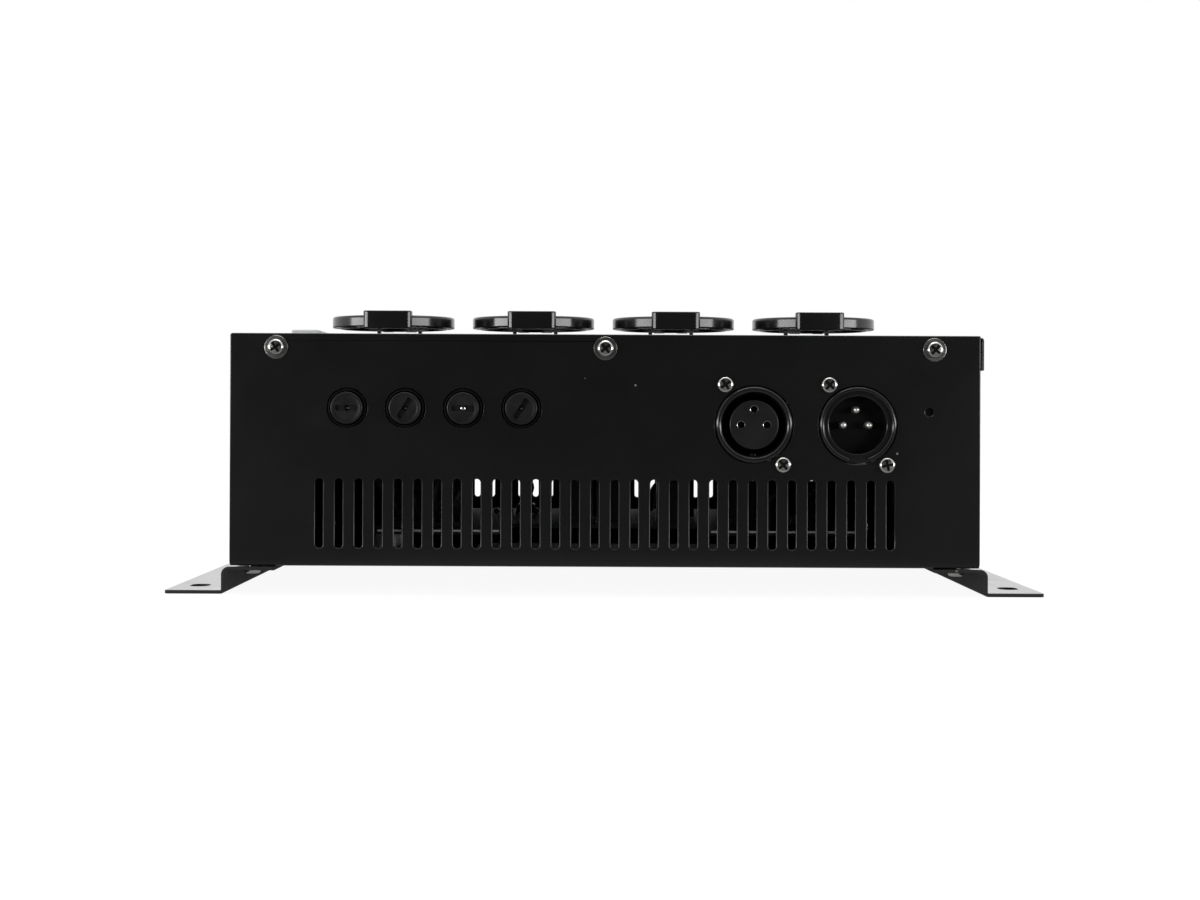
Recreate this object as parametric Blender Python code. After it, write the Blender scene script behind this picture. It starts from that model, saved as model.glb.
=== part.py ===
"""Four-channel DMX switch pack: a black sheet-steel box on two slotted mounting brackets.

Metres, +Z up. The origin is on the floor under the middle of the bounding box.
The connector panel faces -Y. Heights named on the body count from the body's underside.
"""
import math

import bmesh
import bpy
from mathutils import Matrix, Vector

# Gaps
CLEAR = 0.0003          # gap between solids that touch on the real thing
HOLE_CLEAR = 0.0003     # radial play of a screw or boss in its hole
REACH = 0.001           # how far a cutter runs past the face it opens

# Body
BODY_WIDTH = 0.2384
BODY_DEPTH = 0.230
BODY_HEIGHT = 0.074
TRAY_SHEET = 0.0012
COVER_SHEET = 0.0008
BEND_RADIUS = 0.0018
SIDE_FLANGE_DROP = 0.011
FLANGE_GAP = 0.001      # cover's end flange to the nearest part on the same panel

# Brackets
BRACKET_LIFT = 0.009    # floor to body underside
BRACKET_SHEET = 0.0012
BRACKET_BEND = 0.0022
BRACKET_INSET = 0.001   # body end to bracket end
WEB_STANDOFF = 0.0028   # body side to the web's outer face
FOOT_WIDTH = 0.018
TOP_FLANGE = 0.0165
FOOT_SLOT_WIDTH = 0.006
FOOT_SLOT_LENGTH = 0.0095
FOOT_SLOT_FROM_END = 0.0195
FOOT_SLOT_FROM_EDGE = 0.008
BRACKET_SCREW_FROM_END = 0.012
BRACKET_SCREW_INSET = 0.0055    # body side to screw axis

# Ventilation slots
SLOT_COUNT = 30
SLOT_PITCH = 0.00626
SLOT_WIDTH = 0.0024
SLOT_TO_SCREW = 0.0049      # top of the slots to the lower connector screws' axes
FRONT_SLOT_BOTTOM = 0.0058
REAR_SLOT_BOTTOM = 0.0130

# Screws
M3_SHANK = 0.0015
M3_HEAD = 0.0027
M3_HEAD_HEIGHT = 0.0018
M3_CROWN = 0.65             # flat of the head as a share of its radius
M3_LENGTH = 0.006
M3_RECESS = 0.00085
RECESS_ARM = 0.00035        # half width of the recess's arms
RECESS_REACH = 0.6          # arm length as a share of the head's radius
RECESS_TURN = math.radians(35)
WASHER_RADIUS = 0.00375
WASHER_THICK = 0.0005
COVER_SCREW_FROM_SIDE = 0.0147
COVER_SCREW_DROP = 0.0045   # top of the body to the screw's axis

# Three-pole connectors
XLR_MALE_FROM_SIDE = 0.0389
XLR_PITCH = 0.033
XLR_DROP = 0.0285           # top of the body to the connectors' axes
XLR_RING = 0.01215
XLR_PROUD = 0.0011
XLR_DEPTH = 0.018
XLR_FLOOR = 0.002
XLR_FLANGE_HALF_WIDTH = 0.013
XLR_FLANGE_HALF_HEIGHT = 0.0155
XLR_FLANGE_THICK = 0.002
XLR_SCREW_DX = 0.0092
XLR_SCREW_DZ = 0.0127
FEMALE_BORE = 0.0107
FEMALE_INSERT = 0.00785
FEMALE_INSERT_RECESS = 0.0006
CONTACT_HOLE = 0.00135
CONTACT_DEPTH = 0.0115
MALE_BORE = 0.0095
MALE_MOUTH = 0.0105
MALE_MOUTH_DEPTH = 0.0012
MALE_CUP_DEPTH = 0.013
MALE_KEYWAY_WIDTH = 0.0057
MALE_KEYWAY_RISE = 0.0006    # how far the keyway reaches above the bottom of the bore
PIN_RADIUS = 0.0012
PIN_TIP = 0.0006
PIN_RECESS = 0.0015
PIN_BASE_THICK = 0.003
CONTACT_SIDE = 0.00415
CONTACT_TOP = 0.0049
DMX_BOARD_MARGIN = 0.003
DMX_BOARD_HALF_HEIGHT = 0.016

# Fuse holders
FUSE_COUNT = 4
FUSE_FROM_SIDE = 0.0372
FUSE_PITCH = 0.01845
FUSE_DROP = 0.0237
FUSE_RIM = 0.0060
FUSE_RIM_PROUD = 0.0005
FUSE_CAP = 0.0051
FUSE_CAP_PROUD = 0.0020
FUSE_CAP_DEPTH = 0.009
FUSE_CAP_DISH = 0.0004
FUSE_CAP_RIM = 0.0008
FUSE_COLLAR = 0.0075
FUSE_COLLAR_THICK = 0.0035
FUSE_BACK_WALL = 0.0015
FUSE_LINK = 0.0026
FUSE_LINK_LENGTH = 0.020
FUSE_POCKET_DEPTH = 0.003
FUSE_SLOT_LENGTH = 0.0074
FUSE_SLOT_WIDTH = 0.0020
FUSE_SLOT_DEPTH = 0.0012
FUSE_CENTRE_DEPTH = 0.0024
FUSE_CENTRE_SIZE = 0.0024
FUSE_LUG_WIDTH = 0.0040
FUSE_LUG_LENGTH = 0.0055
FUSE_LUG_THICK = 0.0008
FUSE_SLOT_ANGLES = (0.0, 58.0, 0.0, 56.0)

# Microphone
MIC_FROM_SIDE = 0.0162
MIC_DROP = 0.0243
MIC_HOLE = 0.0013
MIC_RADIUS = 0.00485
MIC_LENGTH = 0.0065

# Sockets and lids; the lid's heights count from the top of the cover
SOCKET_COUNT = 4
SOCKET_PITCH = 0.0523
SOCKET_FROM_FRONT = 0.115
SOCKET_FLANGE = 0.050
SOCKET_FLANGE_THICK = 0.0031
SOCKET_FLANGE_CORNER = 0.004
SOCKET_BODY = 0.0215
SOCKET_WELL = 0.0197
SOCKET_WELL_DEPTH = 0.0175
SOCKET_DEPTH = 0.038
SOCKET_SCREW_OFFSET = 0.0195
SOCKET_SCREW_HEAD = 0.0028
SOCKET_SCREW_SHANK = 0.0014
SOCKET_SCREW_SINK = 0.0019
CONTACT_SPACING = 0.019
POWER_HOLE = 0.0030
POWER_DEPTH = 0.015
LID_RADIUS = 0.0227
LID_BOTTOM = 0.0063
LID_TOP = 0.0104
LID_EDGE_ROUND = 0.0008
LID_PLATE = 0.0020
LID_SKIRT_OUTER = 0.0199
LID_SKIRT_WALL = 0.0016
LID_SKIRT_BOTTOM = 0.0048
TAB_WIDTH = 0.0176
TAB_FRONT = 0.02525
TAB_DEPTH = 0.0065
TAB_BOTTOM = 0.0055
TAB_TOP = 0.0119
TAB_ROUND = 0.0019
HINGE_BACK = 0.0243      # socket centre to the pin's axis
HINGE_HEIGHT = 0.0076
HINGE_BARREL = 0.0022
HINGE_PIN = 0.0010
HINGE_PLAY = 0.0002
KNUCKLE_WIDTH = 0.0042
SPRING_SPACE = 0.0046
EAR_THICK = 0.0026

# Control panel on the cover
BUTTON_COUNT = 4
BUTTON_FROM_SIDE = 0.0187
BUTTON_FROM_FRONT = 0.0405
BUTTON_PITCH = 0.0125
BUTTON_SIZE = 0.0091
BUTTON_PROUD = 0.0026
BUTTON_TRAVEL = 0.0006
BUTTON_LIP = 0.0007
BUTTON_STEM = 0.0035
BUTTON_STEM_SIZE = 0.0035
TACT_SIZE = 0.006
DISPLAY_FROM_SIDE = 0.0462
DISPLAY_FROM_FRONT = 0.050
DISPLAY_WIDTH = 0.030
DISPLAY_LENGTH = 0.014
DISPLAY_RECESS = 0.0002
LED_COUNT = 4
LED_PITCH = 0.008
LED_FROM_FRONT = 0.070
LED_RADIUS = 0.0015
CONTROL_FROM_SIDE = 0.0112
CONTROL_WIDTH = 0.058
CONTROL_FRONT = 0.031
CONTROL_BACK = 0.0865
CONTROL_DROP = 0.0105     # cover top to the board's upper face
BOARD = 0.0016

# Main board and what it carries
PCB_X_LOW = -0.078
PCB_X_HIGH = 0.087
PCB_FRONT = 0.055
PCB_FROM_REAR = 0.015
PCB_HEIGHT = 0.007
PCB_NOTCH_X_LOW = -0.036     # notch in the board's front edge
PCB_NOTCH_X_HIGH = 0.037
PCB_NOTCH_DEPTH = 0.040
POST_RADIUS = 0.003
POST_INSET = 0.0040
RELAY_X = (-0.0095, 0.0035, 0.02625, 0.0500)
RELAY_FROM_FRONT = 0.112
RELAY_WIDTH = 0.0125
RELAY_LENGTH = 0.0285
RELAY_HEIGHT = 0.0155
TRANSFORMER_FROM_BOARD_END = 0.009
TRANSFORMER_FROM_REAR = 0.048
CORE_WIDTH = 0.016
CORE_LENGTH = 0.042
CORE_HEIGHT = 0.035
COIL_LENGTH = 0.027
COIL_HEIGHT = 0.023
COIL_WIDTH = 0.030
COIL_ROUND = 0.0034
CAP_X = -0.010
CAP_FROM_REAR = 0.055
CAP_RADIUS = 0.005
CAP_HEIGHT = 0.020
TERMINAL_X = -0.061
TERMINAL_FROM_FRONT = 0.068
TERMINAL_LENGTH = 0.028
TERMINAL_DEPTH = 0.010
TERMINAL_HEIGHT = 0.013
TERMINAL_SLOPE_DEPTH = 0.0035
TERMINAL_SLOPE_DROP = 0.0039

# Mains inlet
GLAND_FROM_SIDE = 0.0312
GLAND_SLEEVE = 0.0080
GLAND_BORE = 0.0045
GLAND_HEX = 0.0110
GLAND_HEX_LENGTH = 0.005
GLAND_SLEEVE_LENGTH = 0.0075
GLAND_NECK = 0.0075
GLAND_NECK_LENGTH = 0.008
NUT_RADIUS = 0.0105
NUT_NOSE = 0.0075
NUT_LENGTH = 0.014
NUT_GRIP_LENGTH = 0.007
NUT_SHOULDER = 0.0098
NUT_TAPER = 0.002
LOCKNUT_LENGTH = 0.004

# Facets of round shapes
FINE = 24
MEDIUM = 16
COARSE = 10
TINY = 8
HEXAGON = 6
SMOOTH_ANGLE = math.radians(35)
MARKER_SIZE = 0.01      # how large a joint's empty is drawn

# Places worked out from the sizes above
FRONT_REACH = CLEAR + WASHER_THICK + M3_HEAD_HEIGHT
REAR_REACH = CLEAR + GLAND_HEX_LENGTH + CLEAR + NUT_LENGTH
FRONT = -(BODY_DEPTH + FRONT_REACH + REAR_REACH) / 2 + FRONT_REACH
REAR = FRONT + BODY_DEPTH
PANEL_BACK = FRONT + TRAY_SHEET
REAR_PANEL_INNER = REAR - TRAY_SHEET
BASE = BRACKET_LIFT
TOP = BASE + BODY_HEIGHT
FLOOR_TOP = BASE + TRAY_SHEET
HALF_WIDTH = BODY_WIDTH / 2
XLR_MALE_X = HALF_WIDTH - XLR_MALE_FROM_SIDE
XLR_FEMALE_X = XLR_MALE_X - XLR_PITCH
XLR_HEIGHT = BODY_HEIGHT - XLR_DROP
END_FLANGE_DROP = XLR_DROP - XLR_FLANGE_HALF_HEIGHT - FLANGE_GAP
SLOT_HEIGHT = XLR_HEIGHT - XLR_SCREW_DZ - SLOT_TO_SCREW - FRONT_SLOT_BOTTOM
COVER_SCREW_SPACING = HALF_WIDTH - COVER_SCREW_FROM_SIDE
COVER_SCREW_HEIGHT = BODY_HEIGHT - COVER_SCREW_DROP
FUSE_FIRST_X = FUSE_FROM_SIDE - HALF_WIDTH
FUSE_HEIGHT = BODY_HEIGHT - FUSE_DROP
MIC_X = HALF_WIDTH - MIC_FROM_SIDE
MIC_HEIGHT = BODY_HEIGHT - MIC_DROP
BUTTON_X = BUTTON_FROM_SIDE - HALF_WIDTH
DISPLAY_X = DISPLAY_FROM_SIDE - HALF_WIDTH
CONTROL_X_LOW = CONTROL_FROM_SIDE - HALF_WIDTH
CONTROL_X_HIGH = CONTROL_X_LOW + CONTROL_WIDTH
GLAND_X = HALF_WIDTH - GLAND_FROM_SIDE
GLAND_HEIGHT = BODY_HEIGHT - END_FLANGE_DROP - FLANGE_GAP - GLAND_HEX * math.sin(math.pi / 3)
INNER_HALF = HALF_WIDTH - TRAY_SHEET
COVER_UNDER = TOP - COVER_SHEET
COVER_INNER_HALF = HALF_WIDTH + CLEAR
COVER_HALF = COVER_INNER_HALF + COVER_SHEET
SOCKET_Y = FRONT + SOCKET_FROM_FRONT
PCB_UNDER = BASE + PCB_HEIGHT
PCB_TOP = PCB_UNDER + BOARD
CONTROL_TOP = TOP - CONTROL_DROP
CONTROL_UNDER = CONTROL_TOP - BOARD

COLOURS = {
    "powder_black": ((0.011, 0.012, 0.0115), 0.55, 0.0),
    "plastic_black": ((0.008, 0.008, 0.009), 0.25, 0.0),
    "screw_steel": ((0.62, 0.61, 0.58), 0.3, 1.0),
    "contact_metal": ((0.75, 0.73, 0.68), 0.25, 1.0),
    "button_grey": ((0.62, 0.63, 0.64), 0.5, 0.0),
    "board_green": ((0.02, 0.12, 0.06), 0.5, 0.0),
    "relay_blue": ((0.02, 0.08, 0.30), 0.4, 0.0),
    "terminal_green": ((0.03, 0.28, 0.12), 0.45, 0.0),
    "core_steel": ((0.25, 0.25, 0.25), 0.5, 0.8),
    "glass": ((0.8, 0.82, 0.82), 0.1, 0.0),
    "display_red": ((0.06, 0.005, 0.005), 0.15, 0.0),
}


def clear_scene():
    for old in list(bpy.data.objects):
        bpy.data.objects.remove(old, do_unlink=True)


def material(node, colour):
    """Each node has its own Principled material."""
    base, roughness, metallic = COLOURS[colour]
    made = bpy.data.materials.new(node + "_material")
    made.use_nodes = True
    shader = made.node_tree.nodes["Principled BSDF"]
    shader.inputs["Base Color"].default_value = (*base, 1.0)
    shader.inputs["Roughness"].default_value = roughness
    shader.inputs["Metallic"].default_value = metallic
    made.diffuse_color = (*base, 1.0)
    return made


def to_mesh(name, shape):
    """Turns a bmesh into a mesh whose faces point out and whose round sides are smooth."""
    bmesh.ops.recalc_face_normals(shape, faces=shape.faces)
    mesh = bpy.data.meshes.new(name)
    shape.to_mesh(mesh)
    shape.free()
    mesh.shade_smooth()
    mesh.set_sharp_from_angle(angle=SMOOTH_ANGLE)
    return mesh


def place(name, mesh, colour, at=(0.0, 0.0, 0.0), parent=None):
    """Adds a node's object; its mesh is written relative to the point it is placed at."""
    thing = bpy.data.objects.new(name, mesh)
    bpy.context.collection.objects.link(thing)
    thing.location = at
    if parent is not None:
        thing.parent = parent
    if not mesh.materials:
        mesh.materials.append(None)
    slot = thing.material_slots[0]
    slot.link = "OBJECT"
    slot.material = material(name, colour)
    return thing


def joint_empty(name, at, parent=None):
    """Marks a joint's axis; what moves on it is parented to it."""
    marker = bpy.data.objects.new(name, None)
    marker.empty_display_size = MARKER_SIZE
    bpy.context.collection.objects.link(marker)
    marker.location = at
    if parent is not None:
        marker.parent = parent
    return marker


def helper(name, shape, at=(0.0, 0.0, 0.0), parent=None):
    """A cutter or a form to be joined: no node of its own."""
    tool = bpy.data.objects.new(name, to_mesh(name, shape))
    bpy.context.collection.objects.link(tool)
    tool.location = at
    if parent is not None:
        tool.parent = parent
    tool.hide_render = True
    tool.display_type = "WIRE"
    return tool


def combine(target, tool, operation):
    step = target.modifiers.new(operation.lower(), "BOOLEAN")
    step.operation = operation
    step.solver = "EXACT"
    step.object = tool


def add_box(shape, low, high):
    corners = [shape.verts.new((x, y, z)) for x in (low[0], high[0]) for y in (low[1], high[1])
               for z in (low[2], high[2])]
    for face in ((0, 1, 3, 2), (4, 6, 7, 5), (0, 4, 5, 1), (2, 3, 7, 6), (0, 2, 6, 4), (1, 5, 7, 3)):
        shape.faces.new([corners[i] for i in face])


def on_axis(axis, u, v, along):
    """A point from two coordinates across an axis and one along it."""
    if axis == "X":
        return (along, u, v)
    if axis == "Y":
        return (u, along, v)
    return (u, v, along)


def add_prism(shape, outline, axis, low, high):
    """Extrudes an outline along an axis; X takes (y, z), Y takes (x, z), Z takes (x, y)."""
    first = [shape.verts.new(on_axis(axis, u, v, low)) for u, v in outline]
    last = [shape.verts.new(on_axis(axis, u, v, high)) for u, v in outline]
    shape.faces.new(first)
    shape.faces.new(list(reversed(last)))
    count = len(outline)
    for i in range(count):
        j = (i + 1) % count
        shape.faces.new((first[i], last[i], last[j], first[j]))


def circle(radius, sides, centre=(0.0, 0.0)):
    return [(centre[0] + radius * math.cos(2 * math.pi * i / sides),
             centre[1] + radius * math.sin(2 * math.pi * i / sides)) for i in range(sides)]


def arc(centre, radius, start, end, steps=3):
    """Points along part of a circle, both ends included; start and end are in quarter turns."""
    points = []
    for step in range(steps + 1):
        angle = math.pi / 2 * (start + (end - start) * step / steps)
        points.append((centre[0] + radius * math.cos(angle), centre[1] + radius * math.sin(angle)))
    return points


def add_disc(shape, axis, centre, radius, low, high, sides):
    add_prism(shape, circle(radius, sides, centre), axis, low, high)


def add_turned(shape, axis, centre, profile, sides, ring=False):
    """Turns (radius, along) points about an axis; a ring's profile closes on itself."""
    rows = []
    for radius, along in profile:
        if radius == 0:
            rows.append([shape.verts.new(on_axis(axis, centre[0], centre[1], along))])
        else:
            rows.append([shape.verts.new(on_axis(axis, u, v, along)) for u, v in circle(radius, sides, centre)])
    pairs = list(zip(rows, rows[1:]))
    if ring:
        pairs.append((rows[-1], rows[0]))
    for low, high in pairs:
        for i in range(sides):
            j = (i + 1) % sides
            corners = [low[i % len(low)], low[j % len(low)], high[j % len(high)], high[i % len(high)]]
            shape.faces.new(list(dict.fromkeys(corners)))


def rounded_rectangle(half_u, half_v, radius, centre=(0.0, 0.0)):
    points = []
    for quarter, (su, sv) in enumerate(((1, 1), (-1, 1), (-1, -1), (1, -1))):
        corner = (centre[0] + su * (half_u - radius), centre[1] + sv * (half_v - radius))
        points += arc(corner, radius, quarter, quarter + 1)
    return points


def stadium(half_width, length, bottom, centre_u):
    """A slot with round ends that stands upright from its bottom."""
    upper = (centre_u, bottom + length - half_width)
    lower = (centre_u, bottom + half_width)
    return arc(upper, half_width, 0, 2) + arc(lower, half_width, 2, 4)


def bent_strip(corners, radius, thickness, steps=4):
    """The closed outline of a sheet that follows a line with round bends at its corners."""
    line = [(Vector(corners[0]), (Vector(corners[1]) - Vector(corners[0])).normalized())]
    for before, corner, after in zip(corners, corners[1:], corners[2:]):
        corner = Vector(corner)
        into = (corner - Vector(before)).normalized()
        out = (Vector(after) - corner).normalized()
        turn = math.atan2(into.x * out.y - into.y * out.x, into.dot(out))
        reach = radius * math.tan(abs(turn) / 2)
        start = corner - into * reach
        side = Vector((-into.y, into.x)) * math.copysign(radius, turn)
        for step in range(steps + 1):
            turned = Matrix.Rotation(turn * step / steps, 2)
            line.append((start + side - turned @ side, turned @ into))
    line.append((Vector(corners[-1]), (Vector(corners[-1]) - Vector(corners[-2])).normalized()))
    left = [point + Vector((-way.y, way.x)) * thickness / 2 for point, way in line]
    right = [point - Vector((-way.y, way.x)) * thickness / 2 for point, way in line]
    return [tuple(point) for point in left + right[::-1]]


def fuse_x(i):
    return FUSE_FIRST_X + i * FUSE_PITCH


def socket_x(i):
    return (i - (SOCKET_COUNT - 1) / 2) * SOCKET_PITCH


def mirrored(sign, outline):
    return [(sign * u, v) for u, v in outline]


# Steel casing

def cover_screw_places():
    return [(offset * COVER_SCREW_SPACING, BASE + COVER_SCREW_HEIGHT) for offset in (-1, 0, 1)]


def connector_screw_places():
    return [(x + sign * XLR_SCREW_DX, BASE + XLR_HEIGHT - sign * XLR_SCREW_DZ)
            for x in (XLR_FEMALE_X, XLR_MALE_X) for sign in (-1, 1)]


def bracket_screw_places():
    return [(side * (HALF_WIDTH - BRACKET_SCREW_INSET), y)
            for side in (-1, 1)
            for y in (FRONT + BRACKET_SCREW_FROM_END, REAR - BRACKET_SCREW_FROM_END)]


def socket_screw_places():
    return [(socket_x(i) + side * SOCKET_SCREW_OFFSET, SOCKET_Y + side * SOCKET_SCREW_OFFSET)
            for i in range(SOCKET_COUNT) for side in (-1, 1)]


def build_base_tray():
    """Front, rear, sides and floor in one folded sheet, open at the top."""
    shape = bmesh.new()
    across = rounded_rectangle(HALF_WIDTH, BODY_HEIGHT / 2, BEND_RADIUS, centre=(0.0, BASE + BODY_HEIGHT / 2))
    add_prism(shape, across, "Y", FRONT, REAR)
    tray = place("base_tray", to_mesh("base_tray", shape), "powder_black")

    shape = bmesh.new()
    side_view = arc((FRONT + BEND_RADIUS, BASE + BEND_RADIUS), BEND_RADIUS, 2, 3)
    side_view += arc((REAR - BEND_RADIUS, BASE + BEND_RADIUS), BEND_RADIUS, 3, 4)
    side_view += [(REAR, TOP + REACH), (FRONT, TOP + REACH)]
    add_prism(shape, side_view, "X", -HALF_WIDTH - REACH, HALF_WIDTH + REACH)
    combine(tray, helper("cut_tray_bends", shape), "INTERSECT")

    shape = bmesh.new()
    wall_top = COVER_UNDER - CLEAR
    cavity = [(-INNER_HALF, FLOOR_TOP), (INNER_HALF, FLOOR_TOP), (INNER_HALF, wall_top),
              (HALF_WIDTH + REACH, wall_top), (HALF_WIDTH + REACH, TOP + REACH),
              (-HALF_WIDTH - REACH, TOP + REACH), (-HALF_WIDTH - REACH, wall_top), (-INNER_HALF, wall_top)]
    add_prism(shape, cavity, "Y", PANEL_BACK, REAR_PANEL_INNER)
    combine(tray, helper("cut_tray_cavity", shape), "DIFFERENCE")

    shape = bmesh.new()
    for centre in board_post_places():
        add_disc(shape, "Z", centre, POST_RADIUS, FLOOR_TOP - CLEAR, PCB_UNDER - CLEAR, TINY)
    combine(tray, helper("join_board_posts", shape), "UNION")

    shape = bmesh.new()
    for i in range(SLOT_COUNT):
        x = (i - (SLOT_COUNT - 1) / 2) * SLOT_PITCH
        front_slot = stadium(SLOT_WIDTH / 2, SLOT_HEIGHT, BASE + FRONT_SLOT_BOTTOM, x)
        rear_slot = stadium(SLOT_WIDTH / 2, SLOT_HEIGHT, BASE + REAR_SLOT_BOTTOM, x)
        add_prism(shape, front_slot, "Y", FRONT - REACH, PANEL_BACK + REACH)
        add_prism(shape, rear_slot, "Y", REAR_PANEL_INNER - REACH, REAR + REACH)
    for x, z in cover_screw_places():
        add_disc(shape, "Y", (x, z), M3_SHANK + HOLE_CLEAR, FRONT - REACH, PANEL_BACK + REACH, COARSE)
        add_disc(shape, "Y", (x, z), M3_SHANK + HOLE_CLEAR, REAR_PANEL_INNER - REACH, REAR + REACH, COARSE)
    for x, z in connector_screw_places():
        add_disc(shape, "Y", (x, z), M3_SHANK + HOLE_CLEAR, FRONT - REACH, PANEL_BACK + REACH, COARSE)
    for x in (XLR_FEMALE_X, XLR_MALE_X):
        centre = (x, BASE + XLR_HEIGHT)
        add_disc(shape, "Y", centre, XLR_RING + CLEAR, FRONT - REACH, PANEL_BACK + REACH, FINE)
    for i in range(FUSE_COUNT):
        centre = (fuse_x(i), BASE + FUSE_HEIGHT)
        add_disc(shape, "Y", centre, FUSE_RIM + CLEAR, FRONT - REACH, PANEL_BACK + REACH, MEDIUM)
    add_disc(shape, "Y", (MIC_X, BASE + MIC_HEIGHT), MIC_HOLE, FRONT - REACH, PANEL_BACK + REACH, COARSE)
    centre = (GLAND_X, BASE + GLAND_HEIGHT)
    add_disc(shape, "Y", centre, GLAND_SLEEVE + CLEAR, REAR_PANEL_INNER - REACH, REAR + REACH, MEDIUM)
    for centre in bracket_screw_places():
        add_disc(shape, "Z", centre, M3_SHANK + HOLE_CLEAR, BASE - REACH, FLOOR_TOP + REACH, COARSE)
    combine(tray, helper("cut_tray_holes", shape), "DIFFERENCE")


def build_top_cover():
    """Top plate, side flanges outside the tray and end flanges behind the panels."""
    low = TOP - SIDE_FLANGE_DROP
    shape = bmesh.new()
    outline = [(COVER_HALF, low)] + arc((COVER_HALF - BEND_RADIUS, TOP - BEND_RADIUS), BEND_RADIUS, 0, 1)
    outline += [(-x, z) for x, z in reversed(outline)]
    add_prism(shape, outline, "Y", FRONT, REAR)
    cover = place("top_cover", to_mesh("top_cover", shape), "powder_black")

    flange_front = PANEL_BACK + CLEAR
    flange_rear = REAR_PANEL_INNER - CLEAR
    end_low = TOP - END_FLANGE_DROP
    shape = bmesh.new()
    plan = [(-COVER_INNER_HALF, FRONT - REACH), (-INNER_HALF + CLEAR, FRONT - REACH),
            (-INNER_HALF + CLEAR, flange_front + COVER_SHEET), (INNER_HALF - CLEAR, flange_front + COVER_SHEET),
            (INNER_HALF - CLEAR, FRONT - REACH), (COVER_INNER_HALF, FRONT - REACH),
            (COVER_INNER_HALF, REAR + REACH), (INNER_HALF - CLEAR, REAR + REACH),
            (INNER_HALF - CLEAR, flange_rear - COVER_SHEET), (-INNER_HALF + CLEAR, flange_rear - COVER_SHEET),
            (-INNER_HALF + CLEAR, REAR + REACH), (-COVER_INNER_HALF, REAR + REACH)]
    add_prism(shape, plan, "Z", min(low, end_low) - REACH, COVER_UNDER)
    combine(cover, helper("cut_cover_inside", shape), "DIFFERENCE")

    shape = bmesh.new()
    for near, far in ((FRONT - REACH, flange_front), (flange_rear, REAR + REACH)):
        add_box(shape, (-COVER_INNER_HALF, near, low - REACH), (COVER_INNER_HALF, far, TOP + REACH))
    combine(cover, helper("cut_cover_ends", shape), "DIFFERENCE")

    shape = bmesh.new()
    for centre in control_post_places():
        add_disc(shape, "Z", centre, POST_RADIUS, CONTROL_TOP + CLEAR, COVER_UNDER + CLEAR, TINY)
    combine(cover, helper("join_control_posts", shape), "UNION")

    shape = bmesh.new()
    near = flange_front - REACH
    far = flange_front + COVER_SHEET + REACH
    back_near = flange_rear - COVER_SHEET - REACH
    back_far = flange_rear + REACH
    for x, z in cover_screw_places():
        add_disc(shape, "Y", (x, z), M3_SHANK + HOLE_CLEAR, near, far, COARSE)
        add_disc(shape, "Y", (x, z), M3_SHANK + HOLE_CLEAR, back_near, back_far, COARSE)
    under = COVER_UNDER - REACH
    over = TOP + REACH
    for i in range(SOCKET_COUNT):
        add_disc(shape, "Z", (socket_x(i), SOCKET_Y), SOCKET_BODY + CLEAR, under, over, FINE)
    for centre in socket_screw_places():
        add_disc(shape, "Z", centre, SOCKET_SCREW_SHANK + HOLE_CLEAR, under, over, TINY)
    half = BUTTON_SIZE / 2 + CLEAR
    for i in range(BUTTON_COUNT):
        y = button_y(i)
        add_box(shape, (BUTTON_X - half, y - half, under), (BUTTON_X + half, y + half, over))
    half_width = DISPLAY_WIDTH / 2 + CLEAR
    half_length = DISPLAY_LENGTH / 2 + CLEAR
    y = FRONT + DISPLAY_FROM_FRONT
    add_box(shape, (DISPLAY_X - half_width, y - half_length, under),
            (DISPLAY_X + half_width, y + half_length, over))
    for centre in led_places():
        add_disc(shape, "Z", centre, LED_RADIUS + CLEAR, under, over, COARSE)
    combine(cover, helper("cut_cover_holes", shape), "DIFFERENCE")


def build_bracket(name, side):
    """A Z-shaped strip: flange under the tray, web and slotted foot."""
    half = BRACKET_SHEET / 2
    web = HALF_WIDTH + WEB_STANDOFF - half
    upper = BASE - CLEAR - half
    foot_edge = HALF_WIDTH + WEB_STANDOFF + FOOT_WIDTH
    corners = [(web - TOP_FLANGE, upper), (web, upper), (web, half), (foot_edge, half)]
    near = FRONT + BRACKET_INSET
    far = REAR - BRACKET_INSET
    shape = bmesh.new()
    add_prism(shape, mirrored(side, bent_strip(corners, BRACKET_BEND, BRACKET_SHEET)), "Y", near, far)
    bracket = place(name, to_mesh(name, shape), "powder_black")
    shape = bmesh.new()
    for y in foot_slot_middles():
        outline = stadium(FOOT_SLOT_WIDTH / 2, FOOT_SLOT_LENGTH, y - FOOT_SLOT_LENGTH / 2, side * foot_slot_x())
        add_prism(shape, outline, "Z", -REACH, BRACKET_SHEET + REACH)
    for x, y in bracket_screw_places():
        if x * side > 0:
            add_disc(shape, "Z", (x, y), M3_SHANK + HOLE_CLEAR, upper - half - REACH,
                     upper + half + REACH, COARSE)
    combine(bracket, helper("cut_" + name, shape), "DIFFERENCE")


def foot_slot_x():
    return HALF_WIDTH + WEB_STANDOFF + FOOT_WIDTH - FOOT_SLOT_FROM_EDGE


def foot_slot_middles():
    return (FRONT + FOOT_SLOT_FROM_END, REAR - FOOT_SLOT_FROM_END)


# Fasteners

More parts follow.
